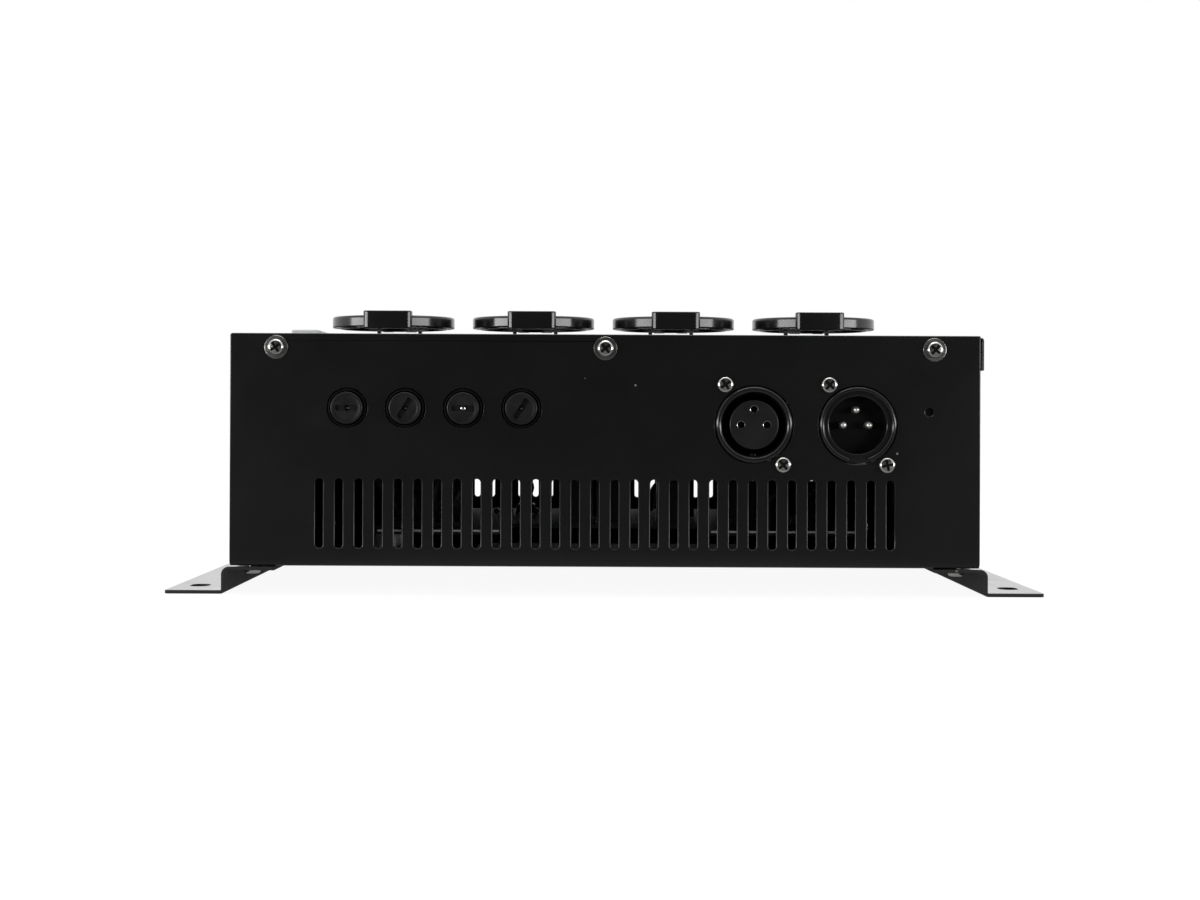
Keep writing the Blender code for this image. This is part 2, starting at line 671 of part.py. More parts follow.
def build_screw(name, axis, centre, face, way, washer=False):
    """A pan-head screw with a crossed recess; way is +1 or -1 from the face it sits on towards its head."""
    seat = face + way * CLEAR
    root = seat - way * M3_LENGTH
    profile = [(0, root), (M3_SHANK, root), (M3_SHANK, seat)]
    if washer:
        profile += [(WASHER_RADIUS, seat), (WASHER_RADIUS, seat + way * WASHER_THICK)]
        seat += way * WASHER_THICK
    top = seat + way * M3_HEAD_HEIGHT
    profile += [(M3_HEAD, seat), (M3_HEAD, seat + way * M3_HEAD_HEIGHT / 2),
                (M3_HEAD * M3_CROWN, top), (0, top)]
    shape = bmesh.new()
    add_turned(shape, axis, centre, profile, COARSE)
    screw = place(name, to_mesh(name, shape), "screw_steel")
    arm = M3_HEAD * RECESS_REACH
    half = RECESS_ARM
    cross = [(half, half), (half, arm), (-half, arm), (-half, half), (-arm, half), (-arm, -half),
             (-half, -half), (-half, -arm), (half, -arm), (half, -half), (arm, -half), (arm, half)]
    turned = [Matrix.Rotation(RECESS_TURN, 2) @ Vector(point) for point in cross]
    ends = sorted((top - way * M3_RECESS, top + way * REACH))
    cutter = bmesh.new()
    add_prism(cutter, [(centre[0] + p.x, centre[1] + p.y) for p in turned], axis, ends[0], ends[1])
    combine(screw, helper("cut_" + name, cutter), "DIFFERENCE")


def build_screws():
    for i, centre in enumerate(cover_screw_places()):
        build_screw("cover_screw_front_%d" % (i + 1), "Y", centre, FRONT, -1, washer=True)
        build_screw("cover_screw_rear_%d" % (i + 1), "Y", centre, REAR, 1, washer=True)
    for i, centre in enumerate(connector_screw_places()):
        build_screw("xlr_screw_%d" % (i + 1), "Y", centre, FRONT, -1)


# Three-pole connectors

def contact_offsets():
    return ((-CONTACT_SIDE, 0.0), (CONTACT_SIDE, 0.0), (0.0, CONTACT_TOP))


def add_connector_flange(name, shell, x):
    """The plate behind the panel, with its two screw holes."""
    shape = bmesh.new()
    low = (x - XLR_FLANGE_HALF_WIDTH, PANEL_BACK + CLEAR, BASE + XLR_HEIGHT - XLR_FLANGE_HALF_HEIGHT)
    high = (x + XLR_FLANGE_HALF_WIDTH, PANEL_BACK + CLEAR + XLR_FLANGE_THICK,
            BASE + XLR_HEIGHT + XLR_FLANGE_HALF_HEIGHT)
    add_box(shape, low, high)
    combine(shell, helper("join_" + name, shape), "UNION")


def build_female_connector():
    centre = (XLR_FEMALE_X, BASE + XLR_HEIGHT)
    face = FRONT - XLR_PROUD
    back = PANEL_BACK + XLR_DEPTH
    floor = back - XLR_FLOOR
    shape = bmesh.new()
    add_turned(shape, "Y", centre, [(0, back), (XLR_RING, back), (XLR_RING, face), (0, face)], FINE)
    shell = place("xlr_female_shell", to_mesh("xlr_female_shell", shape), "plastic_black")
    add_connector_flange("female_flange", shell, XLR_FEMALE_X)
    cutter = bmesh.new()
    add_disc(cutter, "Y", centre, FEMALE_BORE, face - REACH, floor, FINE)
    for x, z in connector_screw_places()[:2]:
        add_disc(cutter, "Y", (x, z), M3_SHANK + HOLE_CLEAR, FRONT, back, COARSE)
    combine(shell, helper("cut_female_bore", cutter), "DIFFERENCE")

    insert_face = face + FEMALE_INSERT_RECESS
    shape = bmesh.new()
    add_disc(shape, "Y", centre, FEMALE_INSERT, insert_face, floor - CLEAR, MEDIUM)
    insert = place("xlr_female_insert", to_mesh("xlr_female_insert", shape), "plastic_black")
    cutter = bmesh.new()
    for dx, dz in contact_offsets():
        spot = (centre[0] + dx, centre[1] + dz)
        add_disc(cutter, "Y", spot, CONTACT_HOLE, insert_face - REACH, insert_face + CONTACT_DEPTH, COARSE)
    combine(insert, helper("cut_female_contacts", cutter), "DIFFERENCE")


def build_male_connector():
    centre = (XLR_MALE_X, BASE + XLR_HEIGHT)
    face = FRONT - XLR_PROUD
    back = PANEL_BACK + XLR_DEPTH
    floor = face + MALE_CUP_DEPTH
    shape = bmesh.new()
    add_turned(shape, "Y", centre, [(0, back), (XLR_RING, back), (XLR_RING, face), (0, face)], FINE)
    shell = place("xlr_male_shell", to_mesh("xlr_male_shell", shape), "plastic_black")
    add_connector_flange("male_flange", shell, XLR_MALE_X)
    cutter = bmesh.new()
    bore = [(0, face - REACH), (MALE_MOUTH, face - REACH), (MALE_MOUTH, face + MALE_MOUTH_DEPTH),
            (MALE_BORE, face + MALE_MOUTH_DEPTH), (MALE_BORE, floor), (0, floor)]
    add_turned(cutter, "Y", centre, bore, FINE)
    for x, z in connector_screw_places()[2:]:
        add_disc(cutter, "Y", (x, z), M3_SHANK + HOLE_CLEAR, FRONT, back, COARSE)
    combine(shell, helper("cut_male_bore", cutter), "DIFFERENCE")
    cutter = bmesh.new()
    half = MALE_KEYWAY_WIDTH / 2
    keyway_top = centre[1] - MALE_BORE + MALE_KEYWAY_RISE
    add_box(cutter, (centre[0] - half, face - REACH, centre[1] - XLR_RING - REACH),
            (centre[0] + half, FRONT, keyway_top))
    combine(shell, helper("cut_male_keyway", cutter), "DIFFERENCE")

    base_face = floor - CLEAR - PIN_BASE_THICK
    shape = bmesh.new()
    add_disc(shape, "Y", centre, MALE_BORE - CLEAR, base_face, floor - CLEAR, MEDIUM)
    insert = place("xlr_male_insert", to_mesh("xlr_male_insert", shape), "plastic_black")
    cutter = bmesh.new()
    tip = face + PIN_RECESS
    root = floor - 2 * CLEAR
    profile = [(0, tip), (PIN_RADIUS - PIN_TIP, tip), (PIN_RADIUS, tip + PIN_TIP),
               (PIN_RADIUS, root), (0, root)]
    for i, (dx, dz) in enumerate(contact_offsets()):
        spot = (centre[0] + dx, centre[1] + dz)
        add_disc(cutter, "Y", spot, PIN_RADIUS + CLEAR, base_face - REACH, floor + REACH, COARSE)
        pin = bmesh.new()
        add_turned(pin, "Y", spot, profile, COARSE)
        name = "xlr_male_pin_%d" % (i + 1)
        place(name, to_mesh(name, pin), "contact_metal")
    combine(insert, helper("cut_pin_holes", cutter), "DIFFERENCE")


def build_dmx_board():
    near = PANEL_BACK + XLR_DEPTH + CLEAR
    reach = XLR_FLANGE_HALF_WIDTH + DMX_BOARD_MARGIN
    low = (XLR_FEMALE_X - reach, near, BASE + XLR_HEIGHT - DMX_BOARD_HALF_HEIGHT)
    high = (XLR_MALE_X + reach, near + BOARD, BASE + XLR_HEIGHT + DMX_BOARD_HALF_HEIGHT)
    shape = bmesh.new()
    add_box(shape, low, high)
    place("dmx_pcb", to_mesh("dmx_pcb", shape), "board_green")


def build_microphone():
    shape = bmesh.new()
    low = PANEL_BACK + CLEAR
    add_disc(shape, "Y", (MIC_X, BASE + MIC_HEIGHT), MIC_RADIUS, low, low + MIC_LENGTH, COARSE)
    place("microphone", to_mesh("microphone", shape), "contact_metal")


# Fuse holders

def fuse_wide_end():
    return FRONT + FUSE_CAP_DEPTH + CLEAR


def fuse_back():
    return fuse_wide_end() - FUSE_POCKET_DEPTH + FUSE_LINK_LENGTH + CLEAR + FUSE_BACK_WALL


def build_fuse_holders():
    """A stepped tube through the panel, with a collar behind it and a solder lug."""
    wide_end = fuse_wide_end()
    back = fuse_back()
    face = FRONT - FUSE_RIM_PROUD
    collar = PANEL_BACK + CLEAR
    for i in range(FUSE_COUNT):
        spot = joint_empty("fuse_pull_axis_%d" % (i + 1), (fuse_x(i), FRONT, BASE + FUSE_HEIGHT))
        profile = [(0, back), (FUSE_RIM, back), (FUSE_RIM, collar + FUSE_COLLAR_THICK),
                   (FUSE_COLLAR, collar + FUSE_COLLAR_THICK), (FUSE_COLLAR, collar), (FUSE_RIM, collar),
                   (FUSE_RIM, face), (FUSE_CAP + CLEAR, face), (FUSE_CAP + CLEAR, wide_end),
                   (FUSE_LINK + 2 * CLEAR, wide_end), (FUSE_LINK + 2 * CLEAR, back - FUSE_BACK_WALL),
                   (0, back - FUSE_BACK_WALL)]
        shape = bmesh.new()
        add_turned(shape, "Y", (0.0, 0.0), [(r, y - FRONT) for r, y in profile], MEDIUM)
        at = (fuse_x(i), FRONT, BASE + FUSE_HEIGHT)
        name = "fuse_holder_%d" % (i + 1)
        holder = place(name, to_mesh(name, shape), "plastic_black", at)
        lug = bmesh.new()
        add_box(lug, (-FUSE_LUG_WIDTH / 2, back - FRONT - CLEAR, -FUSE_LUG_THICK / 2),
                (FUSE_LUG_WIDTH / 2, back - FRONT + FUSE_LUG_LENGTH, FUSE_LUG_THICK / 2))
        combine(holder, helper("join_lug_%d" % (i + 1), lug, at), "UNION")
        build_fuse_cap(i, spot)
        build_fuse_link(i, spot)


def build_fuse_cap(i, spot):
    """The slotted cap; it turns on its own axis and pulls the link out with it."""
    face = -FUSE_CAP_PROUD
    rear = FUSE_CAP_DEPTH
    pocket = rear - FUSE_POCKET_DEPTH
    profile = [(0, face + FUSE_CAP_DISH), (FUSE_CAP - FUSE_CAP_RIM, face + FUSE_CAP_DISH),
               (FUSE_CAP - FUSE_CAP_RIM, face), (FUSE_CAP, face), (FUSE_CAP, rear), (FUSE_LINK + CLEAR, rear),
               (FUSE_LINK + CLEAR, pocket), (0, pocket)]
    shape = bmesh.new()
    add_turned(shape, "Y", (0.0, 0.0), profile, MEDIUM)
    name = "fuse_cap_%d" % (i + 1)
    cap = place(name, to_mesh(name, shape), "plastic_black", parent=spot)
    turn = Matrix.Rotation(math.radians(FUSE_SLOT_ANGLES[i]), 2)
    for label, half_u, half_v, depth in (
            ("slot", FUSE_SLOT_LENGTH / 2, FUSE_SLOT_WIDTH / 2, FUSE_SLOT_DEPTH),
            ("centre", FUSE_CENTRE_SIZE / 2, FUSE_CENTRE_SIZE / 2, FUSE_CENTRE_DEPTH)):
        corners = [(half_u, half_v), (-half_u, half_v), (-half_u, -half_v), (half_u, -half_v)]
        outline = [tuple(turn @ Vector(corner)) for corner in corners]
        cutter = bmesh.new()
        add_prism(cutter, outline, "Y", face - REACH, face + FUSE_CAP_DISH + depth)
        combine(cap, helper("cut_cap_%s_%d" % (label, i + 1), cutter, parent=spot), "DIFFERENCE")


def build_fuse_link(i, spot):
    shape = bmesh.new()
    near = FUSE_CAP_DEPTH - FUSE_POCKET_DEPTH + CLEAR
    add_disc(shape, "Y", (0.0, 0.0), FUSE_LINK, near, near + FUSE_LINK_LENGTH, COARSE)
    name = "fuse_link_%d" % (i + 1)
    place(name, to_mesh(name, shape), "glass", parent=spot)


# Sockets and lids

def build_sockets():
    flange_low = TOP + CLEAR
    flange_top = flange_low + SOCKET_FLANGE_THICK
    well_floor = flange_top - SOCKET_WELL_DEPTH
    body_low = flange_top - SOCKET_DEPTH
    half = SOCKET_FLANGE / 2
    for i in range(SOCKET_COUNT):
        at = (socket_x(i), SOCKET_Y, 0.0)
        label = "_%d" % (i + 1)
        shape = bmesh.new()
        add_prism(shape, rounded_rectangle(half, half, SOCKET_FLANGE_CORNER), "Z", flange_low, flange_top)
        insert = place("socket_insert" + label, to_mesh("socket_insert" + label, shape), "plastic_black", at)
        shape = bmesh.new()
        add_disc(shape, "Z", (0.0, 0.0), SOCKET_BODY, body_low, flange_top - CLEAR, FINE)
        combine(insert, helper("join_socket_body" + label, shape, at), "UNION")
        shape = bmesh.new()
        ear_in = knuckle_end() + CLEAR
        ear = hinge_ear_outline(flange_top)
        for side in (-1, 1):
            ends = sorted((side * ear_in, side * (ear_in + EAR_THICK)))
            add_prism(shape, ear, "X", ends[0], ends[1])
        combine(insert, helper("join_hinge_ears" + label, shape, at), "UNION")
        cutter = bmesh.new()
        add_disc(cutter, "Z", (0.0, 0.0), SOCKET_WELL, well_floor, flange_top + REACH, FINE)
        for side in (-1, 1):
            spot = (side * SOCKET_SCREW_OFFSET, side * SOCKET_SCREW_OFFSET)
            bore = [(0, flange_low - REACH), (SOCKET_SCREW_SHANK + HOLE_CLEAR, flange_low - REACH),
                    (SOCKET_SCREW_SHANK + HOLE_CLEAR, flange_top - SOCKET_SCREW_SINK),
                    (SOCKET_SCREW_HEAD + CLEAR, flange_top - SOCKET_SCREW_SINK),
                    (SOCKET_SCREW_HEAD + CLEAR, flange_top + REACH), (0, flange_top + REACH)]
            add_turned(cutter, "Z", spot, bore, TINY)
        pin = (HINGE_BACK, TOP + HINGE_HEIGHT)
        hinge_half = ear_in + EAR_THICK + REACH
        add_disc(cutter, "X", pin, HINGE_PIN + HINGE_PLAY, -hinge_half, hinge_half, COARSE)
        combine(insert, helper("cut_socket_well" + label, cutter, at), "DIFFERENCE")
        cutter = bmesh.new()
        for side in (-1, 1):
            spot = (side * CONTACT_SPACING / 2, 0.0)
            add_disc(cutter, "Z", spot, POWER_HOLE, well_floor - POWER_DEPTH, well_floor + REACH, COARSE)
        combine(insert, helper("cut_socket_contacts" + label, cutter, at), "DIFFERENCE")
        build_lid(i, at)


def knuckle_end():
    return SPRING_SPACE / 2 + KNUCKLE_WIDTH


def hinge_ear_outline(flange_top):
    """A lug that stands on the flange and rounds over the pin; points are (y, z)."""
    root = flange_top - CLEAR
    edge = min(SOCKET_FLANGE / 2, HINGE_BACK + HINGE_BARREL)
    points = [(HINGE_BACK - HINGE_BARREL, root)]
    points += arc((HINGE_BACK, TOP + HINGE_HEIGHT), HINGE_BARREL, 2, 0, steps=6)
    return points + [(edge, flange_top + CLEAR), (edge, root)]


def lid_profile():
    """Half section of the round lid: plate, rounded rim and the skirt under it."""
    top = TOP + LID_TOP
    low = TOP + LID_BOTTOM
    skirt_inner = LID_SKIRT_OUTER - LID_SKIRT_WALL
    rim = (LID_RADIUS - LID_EDGE_ROUND, top - LID_EDGE_ROUND)
    profile = [(0, top)] + arc(rim, LID_EDGE_ROUND, 1, 0, steps=2)
    profile += [(LID_RADIUS, low), (LID_SKIRT_OUTER, low), (LID_SKIRT_OUTER, TOP + LID_SKIRT_BOTTOM),
                (skirt_inner, TOP + LID_SKIRT_BOTTOM), (skirt_inner, top - LID_PLATE), (0, top - LID_PLATE)]
    return profile


def build_lid(i, at):
    """A lid with its lifting tab at the front, two hinge knuckles at the back and moulded pins."""
    label = "_%d" % (i + 1)
    pin = Vector((0.0, HINGE_BACK, TOP + HINGE_HEIGHT))
    axis = joint_empty("lid_axis" + label, Vector(at) + pin)
    shape = bmesh.new()
    profile = [(radius, along - pin.z) for radius, along in lid_profile()]
    add_turned(shape, "Z", (0.0, -pin.y), profile, FINE)
    name = "socket_lid" + label
    lid = place(name, to_mesh(name, shape), "plastic_black", parent=axis)

    shape = bmesh.new()
    tab_middle = (0.0, TAB_DEPTH / 2 - TAB_FRONT - pin.y)
    tab = rounded_rectangle(TAB_WIDTH / 2, TAB_DEPTH / 2, TAB_ROUND, tab_middle)
    add_prism(shape, tab, "Z", TOP + TAB_BOTTOM - pin.z, TOP + TAB_TOP - pin.z)
    combine(lid, helper("join_tab" + label, shape, parent=axis), "UNION")

    shape = bmesh.new()
    near = LID_RADIUS - 2 * LID_EDGE_ROUND - pin.y
    arm_top = TOP + LID_TOP - LID_EDGE_ROUND - pin.z
    arm = [(near, LID_BOTTOM + TOP - pin.z + CLEAR), (near, arm_top)]
    arm += arc((0.0, 0.0), HINGE_BARREL, 1, -1, steps=8)
    for side in (-1, 1):
        ends = sorted((side * SPRING_SPACE / 2, side * knuckle_end()))
        add_prism(shape, arm, "X", ends[0], ends[1])
    combine(lid, helper("join_knuckles" + label, shape, parent=axis), "UNION")

    shape = bmesh.new()
    half = knuckle_end() + CLEAR + EAR_THICK
    add_disc(shape, "X", (0.0, 0.0), HINGE_PIN, -half, half, COARSE)
    combine(lid, helper("join_hinge_pin" + label, shape, parent=axis), "UNION")


# Control panel

def button_y(i):
    return FRONT + BUTTON_FROM_FRONT + i * BUTTON_PITCH


def led_places():
    first = DISPLAY_X - (LED_COUNT - 1) / 2 * LED_PITCH
    return [(first + i * LED_PITCH, FRONT + LED_FROM_FRONT) for i in range(LED_COUNT)]


def stem_low():
    return COVER_UNDER - CLEAR - BUTTON_LIP - BUTTON_STEM


def build_control_panel():
    half = BUTTON_SIZE / 2
    lip = half + BUTTON_LIP
    stem = BUTTON_STEM_SIZE / 2
    lip_top = COVER_UNDER - CLEAR
    near = FRONT + CONTROL_FRONT
    far = FRONT + CONTROL_BACK
    shape = bmesh.new()
    add_box(shape, (CONTROL_X_LOW, near, CONTROL_UNDER), (CONTROL_X_HIGH, far, CONTROL_TOP))
    board = place("control_pcb", to_mesh("control_pcb", shape), "board_green")
    switches = bmesh.new()
    for i in range(BUTTON_COUNT):
        axis = joint_empty("button_axis_%d" % (i + 1), (BUTTON_X, button_y(i), TOP))
        shape = bmesh.new()
        add_box(shape, (-half, -half, lip_top - TOP - CLEAR), (half, half, BUTTON_PROUD))
        name = "button_%d" % (i + 1)
        button = place(name, to_mesh(name, shape), "button_grey", parent=axis)
        shape = bmesh.new()
        add_box(shape, (-lip, -lip, lip_top - TOP - BUTTON_LIP), (lip, lip, lip_top - TOP))
        combine(button, helper("join_lip_%d" % (i + 1), shape, parent=axis), "UNION")
        shape = bmesh.new()
        add_box(shape, (-stem, -stem, stem_low() - TOP), (stem, stem, lip_top - TOP - CLEAR))
        combine(button, helper("join_stem_%d" % (i + 1), shape, parent=axis), "UNION")
        tact = TACT_SIZE / 2
        add_box(switches, (BUTTON_X - tact, button_y(i) - tact, CONTROL_TOP - CLEAR),
                (BUTTON_X + tact, button_y(i) + tact, stem_low() - BUTTON_TRAVEL - CLEAR))
    combine(board, helper("join_switches", switches), "UNION")

    shape = bmesh.new()
    y = FRONT + DISPLAY_FROM_FRONT
    add_box(shape, (DISPLAY_X - DISPLAY_WIDTH / 2, y - DISPLAY_LENGTH / 2, CONTROL_TOP + CLEAR),
            (DISPLAY_X + DISPLAY_WIDTH / 2, y + DISPLAY_LENGTH / 2, TOP - DISPLAY_RECESS))
    place("display_module", to_mesh("display_module", shape), "display_red")


def control_post_places():
    near = FRONT + CONTROL_FRONT + POST_INSET
    far = FRONT + CONTROL_BACK - POST_INSET
    beside_buttons = BUTTON_X + BUTTON_SIZE / 2 + BUTTON_LIP + 2 * POST_RADIUS
    return [(x, y) for x in (beside_buttons, CONTROL_X_HIGH - POST_INSET) for y in (near, far)]


# Main board

def board_post_places():
    near = FRONT + PCB_FRONT + POST_INSET
    far = REAR - PCB_FROM_REAR - POST_INSET
    return [(x, y) for x in (PCB_X_LOW + POST_INSET, PCB_X_HIGH - POST_INSET) for y in (near, far)]


def build_main_board():
    near = FRONT + PCB_FRONT
    far = REAR - PCB_FROM_REAR
    notch = near + PCB_NOTCH_DEPTH
    outline = [(PCB_X_LOW, near), (PCB_NOTCH_X_LOW, near), (PCB_NOTCH_X_LOW, notch), (PCB_NOTCH_X_HIGH, notch),
               (PCB_NOTCH_X_HIGH, near), (PCB_X_HIGH, near), (PCB_X_HIGH, far), (PCB_X_LOW, far)]
    shape = bmesh.new()
    add_prism(shape, outline, "Z", PCB_UNDER, PCB_TOP)
    place("main_pcb", to_mesh("main_pcb", shape), "board_green")

    seat = PCB_TOP + CLEAR
    y = FRONT + RELAY_FROM_FRONT
    for i, x in enumerate(RELAY_X):
        shape = bmesh.new()
        add_box(shape, (x - RELAY_WIDTH / 2, y - RELAY_LENGTH / 2, seat),
                (x + RELAY_WIDTH / 2, y + RELAY_LENGTH / 2, seat + RELAY_HEIGHT))
        name = "relay_%d" % (i + 1)
        place(name, to_mesh(name, shape), "relay_blue")

    x = PCB_X_LOW + TRANSFORMER_FROM_BOARD_END
    y = REAR - TRANSFORMER_FROM_REAR
    shape = bmesh.new()
    add_box(shape, (x - CORE_WIDTH / 2, y - CORE_LENGTH / 2, seat), (x + CORE_WIDTH / 2, y + CORE_LENGTH / 2,
                                                                   seat + CORE_HEIGHT))
    transformer = place("transformer", to_mesh("transformer", shape), "core_steel")
    shape = bmesh.new()
    lift = (CORE_HEIGHT - COIL_HEIGHT) / 2
    coil = rounded_rectangle(COIL_WIDTH / 2, COIL_LENGTH / 2, COIL_ROUND, centre=(x, y))
    add_prism(shape, coil, "Z", seat + lift, seat + lift + COIL_HEIGHT)
    combine(transformer, helper("join_coil", shape), "UNION")

    shape = bmesh.new()
    add_disc(shape, "Z", (CAP_X, REAR - CAP_FROM_REAR), CAP_RADIUS, seat, seat + CAP_HEIGHT, COARSE)
    place("capacitor", to_mesh("capacitor", shape), "plastic_black")

    shape = bmesh.new()
    half = TERMINAL_DEPTH / 2
    y = FRONT + TERMINAL_FROM_FRONT
    top = seat + TERMINAL_HEIGHT
    side_view = [(y - half, seat), (y + half, seat), (y + half, top), (y - half + TERMINAL_SLOPE_DEPTH, top),
                 (y - half, top - TERMINAL_SLOPE_DROP)]
    add_prism(shape, side_view, "X", TERMINAL_X - TERMINAL_LENGTH / 2, TERMINAL_X + TERMINAL_LENGTH / 2)
    place("terminal_block", to_mesh("terminal_block", shape), "terminal_green")


# Mains inlet

def build_gland():
    centre = (GLAND_X, BASE + GLAND_HEIGHT)
    seat = REAR + CLEAR
    collar_end = seat + GLAND_HEX_LENGTH
    neck_end = collar_end + GLAND_NECK_LENGTH
    inner_end = REAR_PANEL_INNER - GLAND_SLEEVE_LENGTH
    shape = bmesh.new()
    add_prism(shape, circle(GLAND_HEX, HEXAGON, centre), "Y", seat, collar_end)
    body = place("cable_gland", to_mesh("cable_gland", shape), "plastic_black")
    shape = bmesh.new()
    profile = [(0, inner_end), (GLAND_SLEEVE, inner_end), (GLAND_SLEEVE, seat + CLEAR),
               (GLAND_NECK, seat + CLEAR), (GLAND_NECK, neck_end), (0, neck_end)]
    add_turned(shape, "Y", centre, profile, MEDIUM)
    combine(body, helper("join_gland_sleeve", shape), "UNION")
    cutter = bmesh.new()
    add_disc(cutter, "Y", centre, GLAND_BORE, inner_end - REACH, neck_end + REACH, MEDIUM)
    combine(body, helper("cut_gland_bore", cutter), "DIFFERENCE")

    low = collar_end + CLEAR
    high = low + NUT_LENGTH
    shape = bmesh.new()
    grip = low + NUT_GRIP_LENGTH
    ring = [(GLAND_NECK + CLEAR, low), (NUT_RADIUS, low), (NUT_RADIUS, grip), (NUT_SHOULDER, grip + NUT_TAPER),
            (NUT_NOSE, high), (GLAND_BORE, high), (GLAND_BORE, neck_end + CLEAR),
            (GLAND_NECK + CLEAR, neck_end + CLEAR)]
    add_turned(shape, "Y", centre, ring, MEDIUM, ring=True)
    place("gland_nut", to_mesh("gland_nut", shape), "plastic_black")

    high = REAR_PANEL_INNER - CLEAR
    shape = bmesh.new()
    add_prism(shape, circle(GLAND_HEX, HEXAGON, centre), "Y", high - LOCKNUT_LENGTH, high)
    nut = place("gland_locknut", to_mesh("gland_locknut", shape), "plastic_black")
    cutter = bmesh.new()
    add_disc(cutter, "Y", centre, GLAND_SLEEVE + CLEAR, high - LOCKNUT_LENGTH - REACH, high + REACH, MEDIUM)
    combine(nut, helper("cut_locknut", cutter), "DIFFERENCE")


def main():
    clear_scene()
    build_base_tray()
    build_top_cover()
    build_bracket("bracket_left", -1)
    build_bracket("bracket_right", 1)
    build_screws()
    build_female_connector()
    build_male_connector()
    build_dmx_board()
    build_microphone()
    build_fuse_holders()
    build_sockets()
    build_control_panel()
    build_main_board()
    build_gland()


main()
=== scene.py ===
import math

import bmesh
import bpy
from bpy.props import FloatProperty, FloatVectorProperty, IntProperty, PointerProperty
from mathutils import Matrix, Vector


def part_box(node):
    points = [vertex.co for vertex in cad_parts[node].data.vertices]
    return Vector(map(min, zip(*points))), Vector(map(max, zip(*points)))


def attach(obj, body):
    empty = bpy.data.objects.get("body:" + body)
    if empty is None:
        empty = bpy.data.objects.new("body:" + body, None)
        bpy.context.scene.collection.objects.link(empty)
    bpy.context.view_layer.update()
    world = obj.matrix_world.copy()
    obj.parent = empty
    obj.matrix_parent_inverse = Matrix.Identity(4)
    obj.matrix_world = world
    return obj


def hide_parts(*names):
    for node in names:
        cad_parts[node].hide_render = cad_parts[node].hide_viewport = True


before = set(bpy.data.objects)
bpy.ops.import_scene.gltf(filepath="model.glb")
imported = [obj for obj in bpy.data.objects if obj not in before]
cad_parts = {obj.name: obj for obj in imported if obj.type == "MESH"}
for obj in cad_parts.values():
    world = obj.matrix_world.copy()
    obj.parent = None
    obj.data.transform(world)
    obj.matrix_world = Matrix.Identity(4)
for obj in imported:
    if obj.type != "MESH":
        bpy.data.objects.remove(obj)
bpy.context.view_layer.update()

bl_info = {
    "name": "Four-channel switch pack",
    "version": (1, 0, 0),
    "blender": (4, 5, 0),
    "location": "3D View > Sidebar > Switch pack",
    "description": "Builds the pieces and finishes of a black sheet-steel lighting switch pack",
    "category": "Object",
}

# Places read from the frame
TRAY_LOW, TRAY_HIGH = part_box("base_tray")
COVER_LOW, COVER_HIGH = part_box("top_cover")
FRONT = TRAY_LOW.y
REAR = TRAY_HIGH.y
BASE = TRAY_LOW.z
TOP = COVER_HIGH.z
HALF_WIDTH = TRAY_HIGH.x
COVER_HALF = COVER_HIGH.x
FOOT_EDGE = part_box("bracket_right")[1].x
BRACKET_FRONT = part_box("bracket_right")[0].y
BRACKET_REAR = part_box("bracket_right")[1].y
CHANNELS = 4

HAIRLINE = 0.0001       # seam between two sheets that touch
WASHER = 0.00375
WASHER_THICK = 0.0005
KEY_LIP = 0.0007        # retaining lip round each button, under the cover
HINGE_Y = 0.0243        # outlet's middle to its lid's hinge
HINGE_Z = TOP + 0.0076  # height of that hinge
BARREL = 0.0017         # radius round the hinge pin
GAP = 0.0003            # gap between parts that touch
SCREW_HOLE = 0.0018
SHELL_BACK = -0.0192    # panel to the back of the connectors' shells
FEMALE_FLOOR = -0.0172  # panel to the ground of the female connector
FLANGE_THICK = 0.0031   # outlet's flange
FLANGE_TOP = TOP + GAP + FLANGE_THICK
SOCKET_SCREW = 0.0195   # outlet's middle to its screws, along x and y
PROUD_RIVET = 2         # fuse cap whose rivet stands further out than the others
SHARP = math.radians(30)
QUARTER = math.pi / 2
SMALL_ROUND = 20        # sides of a small round shape
ROUND = 48              # sides of a large round shape
FINE_ROUND = 72         # sides of the connectors' rings
WELL_ROUND = 96         # sides of the outlets' wells
WHITE = (1.0, 1.0, 1.0, 1.0)

FACING_FRONT = Matrix.Rotation(QUARTER, 4, "X")
FACING_REAR = Matrix.Rotation(math.pi, 4, "Z") @ FACING_FRONT
FACING_DOWN = Matrix.Rotation(math.pi, 4, "X")


def on_front(x, z, y=FRONT):
    """A place on the front panel: x to the right, y up and z out of the panel."""
    return Matrix.Translation((x, y, z)) @ FACING_FRONT


def on_rear(x, z, y=REAR):
    """A place on the rear panel, seen from behind."""
    return Matrix.Translation((x, y, z)) @ FACING_REAR


def middle(node):
    """The middle of a node's box."""
    low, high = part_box(node)
    return (low + high) / 2


def front_of(node):
    """The place on the front panel over a node's middle."""
    spot = middle(node)
    return on_front(spot.x, spot.z)


def raised(height):
    """A shift straight up to a height."""
    return Matrix.Translation((0.0, 0.0, height))


def numbered(name, number=CHANNELS):
    """The names of like nodes, numbered from 1."""
    return tuple("%s_%d" % (name, i + 1) for i in range(number))


# Sizes and colours

def length(label, text, value):
    """A length in metres."""
    return FloatProperty(name=label, description=text, default=value, min=0.0, unit="LENGTH", precision=5)


def share(label, text, value):
    """A share from 0 to 1."""
    return FloatProperty(name=label, description=text, default=value, min=0.0, max=1.0, subtype="FACTOR")


def amount(label, text, value):
    """A plain amount, not below 0."""
    return FloatProperty(name=label, description=text, default=value, min=0.0)


def tint(label, text, value):
    """A colour."""
    return FloatVectorProperty(name=label, description=text, default=value, size=3, subtype="COLOR",
                               min=0.0, max=1.0)


def count(label, text, value):
    """A whole number from 1."""
    return IntProperty(name=label, description=text, default=value, min=1)


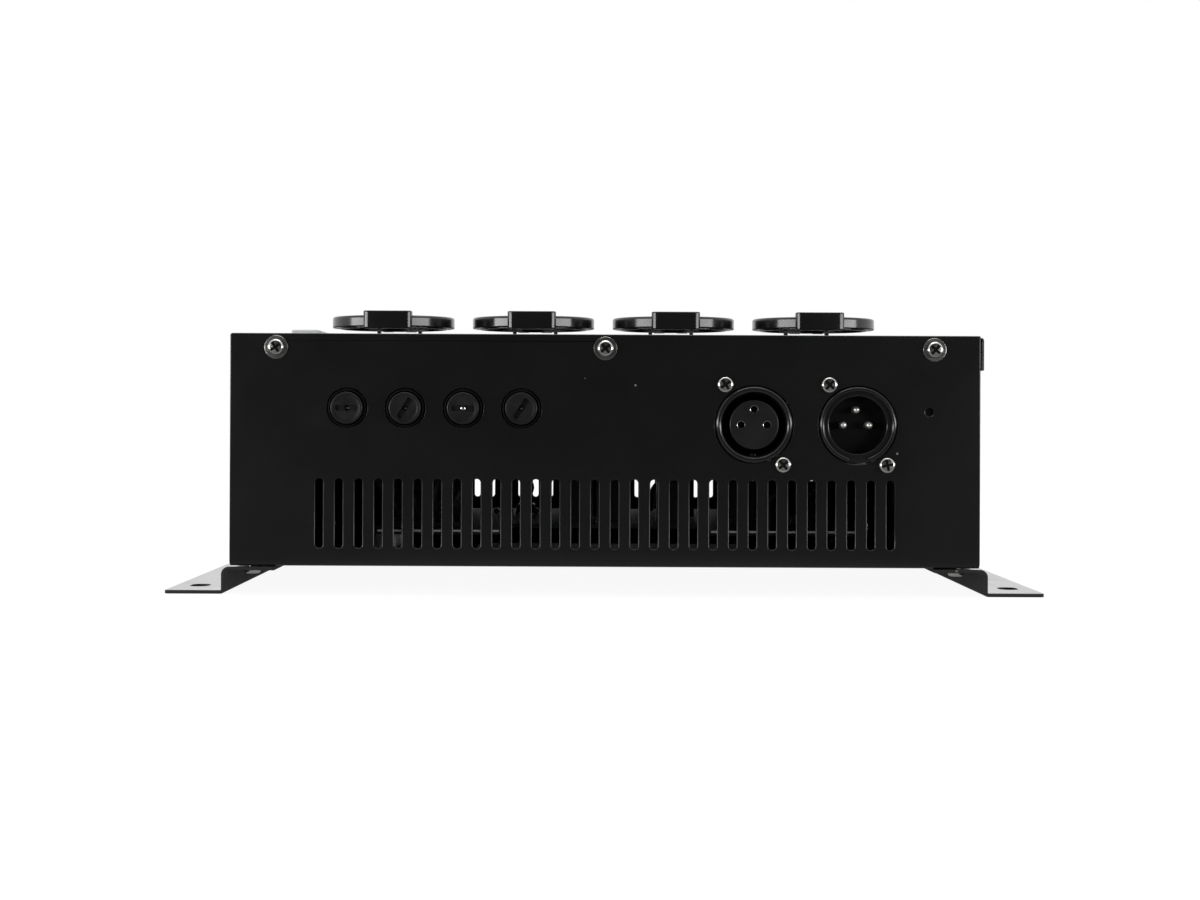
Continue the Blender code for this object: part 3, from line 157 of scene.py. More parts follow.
class CaseSizes(bpy.types.PropertyGroup):
    """Folded steel case and its brackets."""
    tray_sheet: length("Tray sheet", "Thickness of the tray's steel", 0.0012)
    cover_sheet: length("Cover sheet", "Thickness of the cover's steel", 0.0008)
    bend: length("Bend radius", "Outer radius of the bends", 0.0018)
    edge: length("Sheet edge", "Rounding of the sheet's cut edges", 0.00026)
    tray_edge: length("Tray edge", "Rounding of the tray's cut edges", 0.00038)
    left_notch: length("Left notch", "How far back the cover's left flange starts", 0.0065)
    slots: count("Slots", "Ventilation slots in each panel", 30)
    slot_pitch: length("Slot pitch", "Middle of one slot to the next", 0.00626)
    slot_width: length("Slot width", "Width of a ventilation slot", 0.0024)
    slot_height: length("Slot height", "Length of a ventilation slot", 0.0221)
    front_slots: length("Front slots", "Underside of the body to the front slots", 0.0058)
    rear_slots: length("Rear slots", "Underside of the body to the rear slots", 0.0130)
    bracket_sheet: length("Bracket sheet", "Thickness of the brackets", 0.0012)
    bracket_bend: length("Upper bracket bend", "Centre-line radius of the brackets' upper bend", 0.0019)
    bracket_toe: length("Lower bracket bend", "Centre-line radius of the brackets' lower bend", 0.0008)
    paint: tint("Paint", "Colour of the powder coat", (0.0034, 0.0035, 0.0037))
    dust: share("Dust", "How much dust has settled on the paint", 0.16)


class ConnectorSizes(bpy.types.PropertyGroup):
    """Three-pole connectors on the front panel."""
    ring: length("Ring", "Radius of the connector's ring", 0.01215)
    proud: length("Ring height", "How far the ring stands out of the panel", 0.0011)
    female_bore: length("Female bore", "Radius of the female connector's bore", 0.0103)
    female_insert: length("Female insert", "Radius of the block with the contacts", 0.00785)
    male_mouth: length("Male mouth", "Radius of the male connector's mouth", 0.0107)
    male_bore: length("Male bore", "Radius of the male connector's cup", 0.0092)
    pin: length("Pin", "Radius of a contact pin", 0.0012)
    pin_sunk: length("Sunk pins", "How much deeper than the plain model the pins end", 0.003)
    plastic: tint("Plastic", "Colour of the connectors", (0.0050, 0.0050, 0.0053))


class FuseSizes(bpy.types.PropertyGroup):
    """Panel fuse holders with slotted caps."""
    rim: length("Rim", "Radius of the holder's rim", 0.0060)
    rim_proud: length("Rim height", "How far the rim stands out of the panel", 0.0005)
    cap: length("Cap", "Radius of the cap", 0.0051)
    cap_proud: length("Cap height", "How far the cap stands out of the panel", 0.0020)
    slot: length("Driver slot", "Length of the slot in the cap", 0.0072)
    slot_width: length("Driver slot width", "Width of the slot in the cap", 0.0018)
    plastic: tint("Plastic", "Colour of the caps", (0.0052, 0.0052, 0.0055))


class SocketSizes(bpy.types.PropertyGroup):
    """Mains outlets with sprung lids on the cover."""
    well: length("Well", "Radius of the socket's well", 0.0197)
    flange: length("Flange", "Side of the square flange", 0.050)
    lid: length("Lid", "Radius of the lid", 0.0227)
    lid_top: length("Lid top", "Cover to the lid's top face", 0.0104)
    lid_bottom: length("Lid underside", "Cover to the lower edge of the lid's rim", 0.0063)
    skirt: length("Skirt", "Radius of the skirt under the lid", 0.0199)
    skirt_bottom: length("Skirt underside", "Cover to the lower edge of the skirt", 0.0059)
    tab: length("Tab", "Width of the lifting tab", 0.0176)
    tab_top: length("Tab top", "Cover to the top of the lifting tab", 0.0119)
    lid_edge: length("Lid edge", "Rounding of the lid's rim", 0.0008)
    tab_edge: length("Tab edge", "Rounding of the lifting tab's upright edges", 0.0019)
    plastic: tint("Plastic", "Colour of the lids and flanges", (0.0070, 0.0070, 0.0076))


class ControlSizes(bpy.types.PropertyGroup):
    """Buttons, display and lamps on the cover."""
    button: tint("Buttons", "Colour of the buttons", (0.60, 0.61, 0.62))
    window: tint("Display window", "Colour of the display's window", (0.030, 0.004, 0.004))
    segment: tint("Segments", "Colour of the display's unlit segments", (0.16, 0.030, 0.028))
    lamp: tint("Lamps", "Colour of the signal lamps", (0.45, 0.03, 0.02))


class InsideSizes(bpy.types.PropertyGroup):
    """Boards and what they carry."""
    board: tint("Board", "Colour of the circuit boards", (0.006, 0.016, 0.010))
    relay: tint("Relays", "Colour of the relays", (0.010, 0.011, 0.014))
    terminal: tint("Terminals", "Colour of the terminal block", (0.008, 0.010, 0.009))


class StageSizes(bpy.types.PropertyGroup):
    """Floor, light and camera."""
    floor: length("Floor", "Side of the floor", 24.0)
    lamp_strength: amount("Left lamp", "Power of the lamp on the left in watts", 4.4)
    right_strength: amount("Right lamp", "Power of the lamp on the right in watts", 3.7)
    top_strength: amount("Top lamp", "Power of the lamp overhead in watts", 9.0)
    air: share("Ambient light", "Strength of the light from all round", 0.40)
    lens: amount("Lens", "Focal length in millimetres", 60.48)


# Node helpers

def add_node(tree, kind, inputs=None, **settings):
    """Adds a node; inputs maps its sockets to values or to other nodes' sockets."""
    node = tree.nodes.new(kind)
    for name, value in settings.items():
        setattr(node, name, value)
    for socket, value in (inputs or {}).items():
        if isinstance(value, bpy.types.NodeSocket):
            tree.links.new(value, node.inputs[socket])
        else:
            node.inputs[socket].default_value = value
    return node


def new_tree(kind, name, inputs, outputs):
    """Starts a node tree with named inputs and outputs; each is a name and a kind of socket."""
    tree = bpy.data.node_groups.new(name, kind)
    for label, socket in inputs:
        tree.interface.new_socket(label, in_out="INPUT", socket_type="NodeSocket" + socket)
    for label, socket in outputs:
        tree.interface.new_socket(label, in_out="OUTPUT", socket_type="NodeSocket" + socket)
    return tree, tree.nodes.new("NodeGroupInput").outputs, tree.nodes.new("NodeGroupOutput")


def made_once(build):
    """Builds a node tree when it is first asked for; the tree has its function's name."""
    def tree():
        """The node tree."""
        name = build.__name__
        return bpy.data.node_groups.get(name) or build(name)
    return tree


def math_node(tree, operation, *values):
    """The result of a sum of plain values or sockets."""
    inputs = {i: value for i, value in enumerate(values)}
    return add_node(tree, "ShaderNodeMath", inputs, operation=operation).outputs[0]


def ramp(tree, value, span, results=(0.0, 1.0)):
    """Maps a span of values to other values."""
    return add_node(tree, "ShaderNodeMapRange", {
        "Value": value, "From Min": span[0], "From Max": span[1],
        "To Min": results[0], "To Max": results[1]}).outputs[0]


def blend(tree, factor, first, second):
    """A mix of two numbers."""
    return add_node(tree, "ShaderNodeMix", {"Factor": factor, 2: first, 3: second},
                    data_type="FLOAT").outputs[0]


def mixed(tree, factor, first, second):
    """A mix of two colours."""
    return add_node(tree, "ShaderNodeMix", {"Factor": factor, 6: first, 7: second},
                    data_type="RGBA").outputs[2]


def coordinates(tree, kind):
    """The x, y and z of a point's place or of its normal."""
    spot = add_node(tree, "ShaderNodeTexCoord").outputs[kind]
    return add_node(tree, "ShaderNodeSeparateXYZ", {0: spot}).outputs


# Finishes

@made_once
def surface_grain(name):
    """Grain in the relief, and larger patches in colour and roughness."""
    inputs = [("Color", "Color"), ("Second Color", "Color"), ("Grain", "Float"), ("Patch", "Float"),
              ("Roughness Low", "Float"), ("Roughness High", "Float")]
    outputs = [("Color", "Color"), ("Roughness", "Float"), ("Height", "Float")]
    tree, sizes, end = new_tree("ShaderNodeTree", name, inputs, outputs)
    place = add_node(tree, "ShaderNodeTexCoord").outputs["Object"]
    noises = []
    for size, detail in (("Grain", 2.0), ("Patch", 3.0)):
        scale = math_node(tree, "DIVIDE", 1.0, sizes[size])
        noise = add_node(tree, "ShaderNodeTexNoise", {"Vector": place, "Scale": scale, "Detail": detail})
        noises.append(noise.outputs["Fac"])
    grain, patch = noises
    half_patch = math_node(tree, "MULTIPLY", patch, 0.5)
    both = math_node(tree, "MULTIPLY_ADD", grain, 0.5, half_patch)
    spread = ramp(tree, patch, (0.3, 0.7), (sizes["Roughness Low"], sizes["Roughness High"]))
    tree.links.new(mixed(tree, both, sizes["Color"], sizes["Second Color"]), end.inputs["Color"])
    tree.links.new(spread, end.inputs["Roughness"])
    tree.links.new(grain, end.inputs["Height"])
    return tree


@made_once
def settled_dust(name):
    """Pale dust on faces that look up, with a few specks everywhere."""
    inputs = [("Color", "Color"), ("Dust Color", "Color"), ("Amount", "Float"), ("Speck", "Float")]
    outputs = [("Color", "Color"), ("Mask", "Float")]
    tree, sizes, end = new_tree("ShaderNodeTree", name, inputs, outputs)
    place = add_node(tree, "ShaderNodeTexCoord").outputs["Object"]
    up = coordinates(tree, "Normal")["Z"]
    cloud = add_node(tree, "ShaderNodeTexNoise", {"Vector": place, "Scale": 140.0, "Detail": 5.0,
                                                  "Roughness": 0.6})
    film = math_node(tree, "MULTIPLY", ramp(tree, up, (0.2, 0.95)), cloud.outputs["Fac"])
    speck_scale = math_node(tree, "DIVIDE", 1.0, sizes["Speck"])
    cells = add_node(tree, "ShaderNodeTexVoronoi", {"Vector": place, "Scale": speck_scale})
    chance = add_node(tree, "ShaderNodeSeparateColor", {0: cells.outputs["Color"]}).outputs["Red"]
    small = math_node(tree, "LESS_THAN", cells.outputs["Distance"], 0.12)
    specks = math_node(tree, "MULTIPLY", math_node(tree, "GREATER_THAN", chance, 0.985), small)
    thick = math_node(tree, "MULTIPLY", film, sizes["Amount"])
    mask = math_node(tree, "MAXIMUM", thick, math_node(tree, "MULTIPLY", specks, 0.35))
    tree.links.new(mixed(tree, mask, sizes["Color"], sizes["Dust Color"]), end.inputs["Color"])
    tree.links.new(mask, end.inputs["Mask"])
    return tree


DUST_GREY = (0.36, 0.35, 0.33, 1.0)


def grained(name, colour, second, grain, patch, rough, relief, dust=0.0, **plain):
    """A finish with grain, patches and a little dust; plain names the shader's own constant sockets."""
    made = bpy.data.materials.new(name)
    made.use_nodes = True
    tree = made.node_tree
    shader = tree.nodes["Principled BSDF"]
    for socket, value in plain.items():
        shader.inputs[socket.replace("_", " ").title().replace("Ior", "IOR")].default_value = value
    surface = add_node(tree, "ShaderNodeGroup", {
        "Color": (*colour, 1.0), "Second Color": (*second, 1.0), "Grain": grain, "Patch": patch,
        "Roughness Low": rough[0], "Roughness High": rough[1]}, node_tree=surface_grain())
    result = surface.outputs["Color"]
    if dust > 0:
        veil = add_node(tree, "ShaderNodeGroup", {"Color": result, "Dust Color": DUST_GREY, "Amount": dust,
                                                  "Speck": 0.0032}, node_tree=settled_dust())
        result = veil.outputs["Color"]
    bump = add_node(tree, "ShaderNodeBump", {"Height": surface.outputs["Height"], "Distance": relief})
    tree.links.new(result, shader.inputs["Base Color"])
    tree.links.new(surface.outputs["Roughness"], shader.inputs["Roughness"])
    tree.links.new(bump.outputs["Normal"], shader.inputs["Normal"])
    return made


def brighter(colour, share_of):
    """A colour with all its values raised or lowered alike."""
    return tuple(min(1.0, value * share_of) for value in colour)


def rough_sides(tree):
    """Keeps paint smooth on the faces that look up and makes it rough on all others."""
    rough = tree.nodes["Principled BSDF"].inputs["Roughness"]
    steep = ramp(tree, coordinates(tree, "Normal")["Z"], (0.3, 0.9), (0.60, 0.0))
    tree.links.new(math_node(tree, "ADD", rough.links[0].from_socket, steep), rough)


def pale_edge(tree):
    """Pale glass fibre and a painted highlight along the top strip of the main board's cut front edge."""
    base = tree.nodes["Principled BSDF"].inputs["Base Color"]
    place = coordinates(tree, "Object")
    low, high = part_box("main_pcb")
    fibre_and_highlight = (0.90, 0.88, 0.80, 1.0)
    depth = 0.002
    strip = 0.0007
    ahead = math_node(tree, "LESS_THAN", coordinates(tree, "Normal")["Y"], -0.5)
    front = math_node(tree, "LESS_THAN", place["Y"], low.y + depth)
    upper = math_node(tree, "GREATER_THAN", place["Z"], high.z - strip)
    edge = math_node(tree, "MULTIPLY", math_node(tree, "MULTIPLY", ahead, front), upper)
    # Painted highlight: the top strip of the front edge takes a pale fibre colour, which also stands in for
    # light caught on that edge.
    tree.links.new(mixed(tree, edge, base.links[0].from_socket, fibre_and_highlight), base)


def from_panel(value):
    """A value as it is, or the one that the panel shows when it is the path of a property."""
    return bpy.context.scene.path_resolve(value) if isinstance(value, str) else value


# A text in place of a value is the path of a property; patches is the second colour's share of the first
FINISHES = {
    "powder_coat": dict(colour="case_sizes.paint", patches=1.6, grain=0.00022, patch=0.020,
                        rough=(0.22, 0.27), relief=0.000006, dust="case_sizes.dust", specular_ior_level=0.40),
    "bracket_paint": dict(colour="case_sizes.paint", patches=1.6, grain=0.0003, patch=0.014,
                          rough=(0.10, 0.16), relief=0.000004, dust="case_sizes.dust"),
    "gloss_plastic": dict(colour="socket_sizes.plastic", patches=1.4, grain=0.0009, patch=0.02,
                          rough=(0.15, 0.21), relief=0.000003, dust=0.04),
    "satin_plastic": dict(colour="connector_sizes.plastic", patches=1.5, grain=0.0003, patch=0.008,
                          rough=(0.15, 0.21), relief=0.000004, dust=0.04),
    "matt_plastic": dict(colour="connector_sizes.plastic", patches=1.6, grain=0.00035, patch=0.006,
                         rough=(0.30, 0.38), relief=0.00001, specular_ior_level=0.35),
    "fuse_plastic": dict(colour="fuse_sizes.plastic", patches=1.9, grain=0.0005, patch=0.004,
                         rough=(0.28, 0.44), relief=0.00005, dust=0.03, specular_ior_level=0.28),
    # Deepest black: the heat sink's own colour, and painted shade in the screw recesses, the female
    # connector's bore, the male insert, the fuse holders' rims and the microphone's hole.
    "deep_black_and_painted_shade": dict(colour=(0.0012, 0.0012, 0.0013), second=(0.0020, 0.0020, 0.0021), grain=0.0005,
                        patch=0.004, rough=(0.50, 0.60), relief=0.000004, specular_ior_level=0.15),
    "button_plastic": dict(colour="control_sizes.button", patches=0.9, grain=0.00025, patch=0.004,
                           rough=(0.42, 0.52), relief=0.000008, dust=0.02),
    "board_lacquer": dict(colour="inside_sizes.board", patches=1.5, grain=0.0006, patch=0.003,
                          rough=(0.62, 0.72), relief=0.00001, dust=0.02),
    "relay_plastic": dict(colour="inside_sizes.relay", patches=1.2, grain=0.0004, patch=0.005,
                          rough=(0.30, 0.42), relief=0.000006, dust=0.10),
    "terminal_plastic": dict(colour="inside_sizes.terminal", patches=1.2, grain=0.0004, patch=0.005,
                             rough=(0.34, 0.46), relief=0.000006, dust=0.10),
    "display_window": dict(colour="control_sizes.window", patches=1.3, grain=0.001, patch=0.01,
                           rough=(0.06, 0.12), relief=0.000002, dust=0.03),
    "display_segment": dict(colour="control_sizes.segment", patches=0.8, grain=0.0004, patch=0.002,
                            rough=(0.20, 0.28), relief=0.000002),
    "lamp_lens": dict(colour="control_sizes.lamp", patches=0.8, grain=0.0008, patch=0.003, rough=(0.06, 0.12),
                      relief=0.000004, transmission_weight=0.5, ior=1.5),
    "zinc": dict(colour=(0.66, 0.65, 0.62), second=(0.54, 0.53, 0.51), grain=0.0011, patch=0.003,
                 rough=(0.16, 0.26), relief=0.000003, metallic=1.0),
    "washer_steel": dict(colour=(0.34, 0.34, 0.33), second=(0.26, 0.26, 0.25), grain=0.0012, patch=0.003,
                         rough=(0.22, 0.30), relief=0.000004, metallic=1.0),
    "nickel": dict(colour=(0.74, 0.71, 0.66), second=(0.60, 0.57, 0.52), grain=0.0003, patch=0.002,
                   rough=(0.14, 0.26), relief=0.000003, metallic=1.0),
    "pin_metal": dict(colour=(0.93, 0.91, 0.87), second=(0.86, 0.84, 0.80), grain=0.0003, patch=0.002,
                      rough=(0.38, 0.46), relief=0.000003, metallic=1.0),
    "core_iron": dict(colour=(0.24, 0.24, 0.25), second=(0.10, 0.10, 0.11), grain=0.0005, patch=0.004,
                      rough=(0.35, 0.55), relief=0.00002, metallic=0.8, dust=0.10),
    "wire_cover": dict(colour=(0.016, 0.016, 0.017), second=(0.028, 0.028, 0.030), grain=0.0004, patch=0.006,
                       rough=(0.34, 0.46), relief=0.000005, dust=0.08),
    "insulating_card": dict(colour=(0.80, 0.78, 0.74), second=(0.70, 0.68, 0.64), grain=0.0005, patch=0.005,
                            rough=(0.55, 0.65), relief=0.00001, dust=0.05),
    "coil_tape": dict(colour=(0.050, 0.040, 0.012), second=(0.075, 0.060, 0.020), grain=0.0005, patch=0.004,
                      rough=(0.26, 0.38), relief=0.000008, dust=0.08),
    "fuse_glass": dict(colour=(0.80, 0.82, 0.82), second=(0.72, 0.74, 0.74), grain=0.0008, patch=0.004,
                       rough=(0.03, 0.08), relief=0.000002, transmission_weight=0.8, ior=1.5),
}
EXTRAS = {"bracket_paint": rough_sides, "board_lacquer": pale_edge}
MADE = {}


def finish(name):
    """The finish with this name, made when it is first asked for."""
    if name not in MADE:
        look = {key: from_panel(value) for key, value in FINISHES[name].items()}
        if "second" not in look:
            look["second"] = brighter(look["colour"], look.pop("patches"))
        MADE[name] = grained(name, **look)
        if name in EXTRAS:
            EXTRAS[name](MADE[name].node_tree)
    return MADE[name]


# Mesh helpers

def arc(centre, radius, start, end, steps=6):
    """Points along part of a circle, both ends included; start and end are in quarter turns."""
    points = []
    for step in range(steps + 1):
        angle = QUARTER * (start + (end - start) * step / steps)
        points.append((centre[0] + radius * math.cos(angle), centre[1] + radius * math.sin(angle)))
    return points


def circle(radius, sides, centre=(0.0, 0.0)):
    """The outline of a circle."""
    return arc(centre, radius, 0, 4 * (sides - 1) / sides, sides - 1)


def braced(profile, reach=0.00015):
    """Adds points near the ends of long segments, so that smooth shading stays true between them."""
    points = [profile[0]]
    for (x0, y0), (x1, y1) in zip(profile, profile[1:]):
        size = math.hypot(x1 - x0, y1 - y0)
        if size > 5 * reach:
            for part in (reach / size, 1 - reach / size):
                points.append((x0 + (x1 - x0) * part, y0 + (y1 - y0) * part))
        points.append((x1, y1))
    return points


def rounded_rectangle(width, height, radius, centre=(0.0, 0.0), steps=6):
    """The outline of a rectangle with round corners, anticlockwise."""
    points = []
    for quarter, (right, up) in enumerate(((1, 1), (-1, 1), (-1, -1), (1, -1))):
        corner = (centre[0] + right * (width / 2 - radius), centre[1] + up * (height / 2 - radius))
        points += arc(corner, radius, quarter, quarter + 1, steps)
    return points


def rectangle(low, high):
    """The outline of a rectangle between two corners."""
    return [(low[0], low[1]), (high[0], low[1]), (high[0], high[1]), (low[0], high[1])]


def add_rings(shape, rings, place=Matrix(), closed=False):
    """Joins rings of points with faces; a ring of one point is a pole, and open ends are capped."""
    rows = [[shape.verts.new(place @ Vector(point)) for point in ring] for ring in rings]
    pairs = list(zip(rows, rows[1:]))
    if closed:
        pairs.append((rows[-1], rows[0]))
    for low, high in pairs:
        sides = max(len(low), len(high))
        for i in range(sides):
            j = (i + 1) % sides
            corners = [low[i % len(low)], low[j % len(low)], high[j % len(high)], high[i % len(high)]]
            shape.faces.new(list(dict.fromkeys(corners)))
    if not closed:
        for row in (rows[0], rows[-1]):
            if len(row) > 2:
                shape.faces.new(row)


def add_turned(shape, profile, place=Matrix(), sides=ROUND, closed=False):
    """Turns (radius, height) points about the local z axis."""
    rings = []
    for radius, height in braced(profile):
        if radius == 0:
            rings.append([(0.0, 0.0, height)])
        else:
            rings.append([(x, y, height) for x, y in circle(radius, sides)])
    add_rings(shape, rings, place, closed)


def add_prism(shape, outline, low, high, place=Matrix()):
    """A prism with plain ends."""
    add_rings(shape, [[(x, y, low) for x, y in outline], [(x, y, high) for x, y in outline]], place)


def add_soft_prism(shape, outline_at, low, high, edge, place=Matrix(), both_ends=True):
    """A prism with rounded ends; outline_at gives the outline for an inset."""
    brace = edge / 3
    rounding = [(edge * (1 - x), high - edge * (1 - y)) for x, y in arc((0.0, 0.0), 1.0, 0, 1, 4)]
    top = [(0.0, high - edge - brace)] + rounding + [(edge + brace, high)]
    if both_ends:
        rows = [(inset, low + high - level) for inset, level in reversed(top)] + top
    else:
        rows = [(0.0, low)] + top
    add_rings(shape, [[(x, y, level) for x, y in outline_at(inset)] for inset, level in rows], place)


def soft_box(shape, width, depth, corner, low, high, edge, centre=(0.0, 0.0), place=Matrix()):
    """A box with rounded upright corners and rounded ends."""
    add_soft_prism(shape, lambda inset: rounded_rectangle(width - 2 * inset, depth - 2 * inset,
                                                          max(corner - inset, corner / 4), centre),
                   low, high, edge, place)


def to_mesh(shape, outward=True):
    """Turns a bmesh into a mesh with outward faces, smooth but for its sharp edges."""
    bmesh.ops.remove_doubles(shape, verts=shape.verts, dist=1e-7)
    if outward:
        bmesh.ops.recalc_face_normals(shape, faces=shape.faces)
    mesh = bpy.data.meshes.new("piece")
    shape.to_mesh(mesh)
    shape.free()
    return smooth(mesh)


def turned(profile, place=Matrix(), sides=ROUND, closed=False):
    """A turned solid as a mesh of its own."""
    shape = bmesh.new()
    add_turned(shape, profile, place, sides, closed)
    return to_mesh(shape)


def prism(outline, low, high, place=Matrix()):
    """A prism as a mesh of its own."""
    shape = bmesh.new()
    add_prism(shape, outline, low, high, place)
    return to_mesh(shape)


def plug(radius, low, high, place=Matrix(), sides=ROUND):
    """A plain round plug as a mesh of its own."""
    return turned([(0, low), (radius, low), (radius, high), (0, high)], place, sides)


def soft_block(*sizes, **more):
    """A box with rounded edges as a mesh of its own; it takes what soft_box takes."""
    shape = bmesh.new()
    soft_box(shape, *sizes, **more)
    return to_mesh(shape)


def smooth(mesh):
    """Shades a mesh smooth but for its sharp edges, and gives it back."""
    mesh.shade_smooth()
    mesh.set_sharp_from_angle(angle=SHARP)
    return mesh


def as_object(data, name="helper"):
    """Puts an object into the scene."""
    thing = bpy.data.objects.new(name, data)
    bpy.context.collection.objects.link(thing)
    return thing


def settled(thing):
    """Applies an object's modifiers, removes the object and gives back the plain mesh."""
    graph = bpy.context.evaluated_depsgraph_get()
    mesh = bpy.data.meshes.new_from_object(thing.evaluated_get(graph), preserve_all_data_layers=True,
                                           depsgraph=graph)
    bpy.data.objects.remove(thing, do_unlink=True)
    return mesh


def modified(mesh, *steps):
    """Puts a mesh through modifiers, each a kind with its settings."""
    thing = as_object(mesh)
    for kind, settings in steps:
        step = thing.modifiers.new(kind, kind)
        for name, value in settings.items():
            setattr(step, name, value)
    return settled(thing)


def grown(tree, base, values):
    """Runs a Geometry Nodes tree on a mesh and gives back the plain mesh that it makes."""
    thing = as_object(base)
    step = thing.modifiers.new(tree.name, "NODES")
    step.node_group = tree
    for item in tree.interface.items_tree:
        if item.in_out == "INPUT" and item.name in values:
            step[item.identifier] = values[item.name]
    return settled(thing)


def cut(mesh, cutters):
    """Takes closed meshes away from a mesh."""
    thing = as_object(mesh)
    tools = [as_object(cutter) for cutter in cutters]
    for tool in tools:
        step = thing.modifiers.new("cut", "BOOLEAN")
        step.operation = "DIFFERENCE"
        step.solver = "EXACT"
        step.object = tool
    result = settled(thing)
    for tool in tools:
        bpy.data.objects.remove(tool, do_unlink=True)
    return result


def rounded_off(mesh, width, segments=2, angle=SHARP):
    """Rounds the edges of a mesh."""
    return modified(mesh, ("BEVEL", dict(width=width, segments=segments, limit_method="ANGLE",
                                         angle_limit=angle, harden_normals=True)))


def sheet_thick(mesh, thickness, edge, inward=-1.0):
    """Gives a single layer its thickness and rounds its cut edges."""
    wall = dict(thickness=thickness, offset=inward, use_even_offset=True)
    rim = dict(width=edge, segments=2, limit_method="ANGLE", angle_limit=math.radians(50),
               harden_normals=True, use_clamp_overlap=False)
    return modified(smooth(mesh), ("SOLIDIFY", wall), ("BEVEL", rim))


def joined(meshes):
    """Several meshes as one."""
    shape = bmesh.new()
    for mesh in meshes:
        shape.from_mesh(mesh)
    return to_mesh(shape, outward=False)


def add_piece(name, mesh, finish_name, body="chassis", stands_for=()):
    """Adds a piece to the scene: it rides on a body and may replace CAD nodes."""
    mesh.name = name
    mesh.materials.clear()
    mesh.materials.append(finish(finish_name))
    thing = as_object(mesh, name)
    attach(thing, body)
    if stands_for:
        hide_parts(*stands_for)


def dress(node, finish_name):
    """Gives a CAD node that stays its finish."""
    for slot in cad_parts[node].material_slots:
        slot.material = finish(finish_name)


# Geometry Nodes trees

def close_tree(tree, geometry, sizes, end):
    """Ends a Geometry Nodes tree: its copies become real and take a material."""
    real = add_node(tree, "GeometryNodeRealizeInstances", {"Geometry": geometry})
    painted = add_node(tree, "GeometryNodeSetMaterial", {"Geometry": real.outputs[0],
                                                         "Material": sizes["Material"]})
    tree.links.new(painted.outputs[0], end.inputs[0])
    return tree


@made_once
def punched_sheet(name):
    """Fills an outline and punches a row of round-ended slots and round holes in it."""
    inputs = [("Geometry", "Geometry"), ("Slots", "Int"), ("Step", "Vector"), ("Slot Width", "Float"),
              ("Slot Height", "Float"), ("Row Middle", "Vector"), ("Hole Sides", "Int"),
              ("Material", "Material")]
    tree, sizes, end = new_tree("GeometryNodeTree", name, inputs, [("Geometry", "Geometry")])
    outline = add_node(tree, "GeometryNodeMeshToCurve", {"Mesh": sizes["Geometry"]})
    radius = add_node(tree, "GeometryNodeInputNamedAttribute", {"Name": "hole_radius"},
                      data_type="FLOAT").outputs["Attribute"]
    is_hole = math_node(tree, "GREATER_THAN", radius, 0.0)
    spots = add_node(tree, "GeometryNodeSeparateGeometry", {"Geometry": sizes["Geometry"],
                                                            "Selection": is_hole}, domain="POINT")
    ring = add_node(tree, "GeometryNodeCurvePrimitiveCircle", {"Resolution": sizes["Hole Sides"],
                                                               "Radius": 1.0})
    holes = add_node(tree, "GeometryNodeInstanceOnPoints", {
        "Points": spots.outputs["Selection"], "Instance": ring.outputs["Curve"], "Scale": radius})
    gaps = math_node(tree, "MULTIPLY", math_node(tree, "SUBTRACT", sizes["Slots"], 1.0), -0.5)
    shift = add_node(tree, "ShaderNodeVectorMath", {0: sizes["Step"], "Scale": gaps}, operation="SCALE")
    start = add_node(tree, "ShaderNodeVectorMath", {0: sizes["Row Middle"], 1: shift.outputs[0]}).outputs[0]
    line = add_node(tree, "GeometryNodeMeshLine", {"Count": sizes["Slots"], "Start Location": start,
                                                   "Offset": sizes["Step"]})
    box = add_node(tree, "GeometryNodeCurvePrimitiveQuadrilateral", {"Width": sizes["Slot Width"],
                                                                     "Height": sizes["Slot Height"]})
    corner = math_node(tree, "MULTIPLY", sizes["Slot Width"], 0.495)
    slot = add_node(tree, "GeometryNodeFilletCurve", {"Curve": box.outputs["Curve"], "Radius": corner,
                                                      "Count": 5}, mode="POLY")
    slots = add_node(tree, "GeometryNodeInstanceOnPoints", {"Points": line.outputs["Mesh"],
                                                            "Instance": slot.outputs["Curve"]})
    both = add_node(tree, "GeometryNodeJoinGeometry")
    for part in (outline.outputs["Curve"], holes.outputs["Instances"], slots.outputs["Instances"]):
        tree.links.new(part, both.inputs[0])
    real = add_node(tree, "GeometryNodeRealizeInstances", {"Geometry": both.outputs[0]})
    filled = add_node(tree, "GeometryNodeFillCurve", {"Curve": real.outputs[0]}, mode="NGONS")
    return close_tree(tree, filled.outputs["Mesh"], sizes, end)


@made_once
def instance_field(name):
    """Puts a part on every point, turned about z by the point's own angle."""
    inputs = [("Geometry", "Geometry"), ("Part", "Object"), ("Material", "Material")]
    tree, sizes, end = new_tree("GeometryNodeTree", name, inputs, [("Geometry", "Geometry")])
    part = add_node(tree, "GeometryNodeObjectInfo", {"Object": sizes["Part"]})
    turn = add_node(tree, "GeometryNodeInputNamedAttribute", {"Name": "turn"}, data_type="FLOAT")
    spin = add_node(tree, "ShaderNodeCombineXYZ", {"Z": turn.outputs["Attribute"]})
    copies = add_node(tree, "GeometryNodeInstanceOnPoints", {
        "Points": sizes["Geometry"], "Instance": part.outputs["Geometry"], "Rotation": spin.outputs[0]})
    return close_tree(tree, copies.outputs[0], sizes, end)


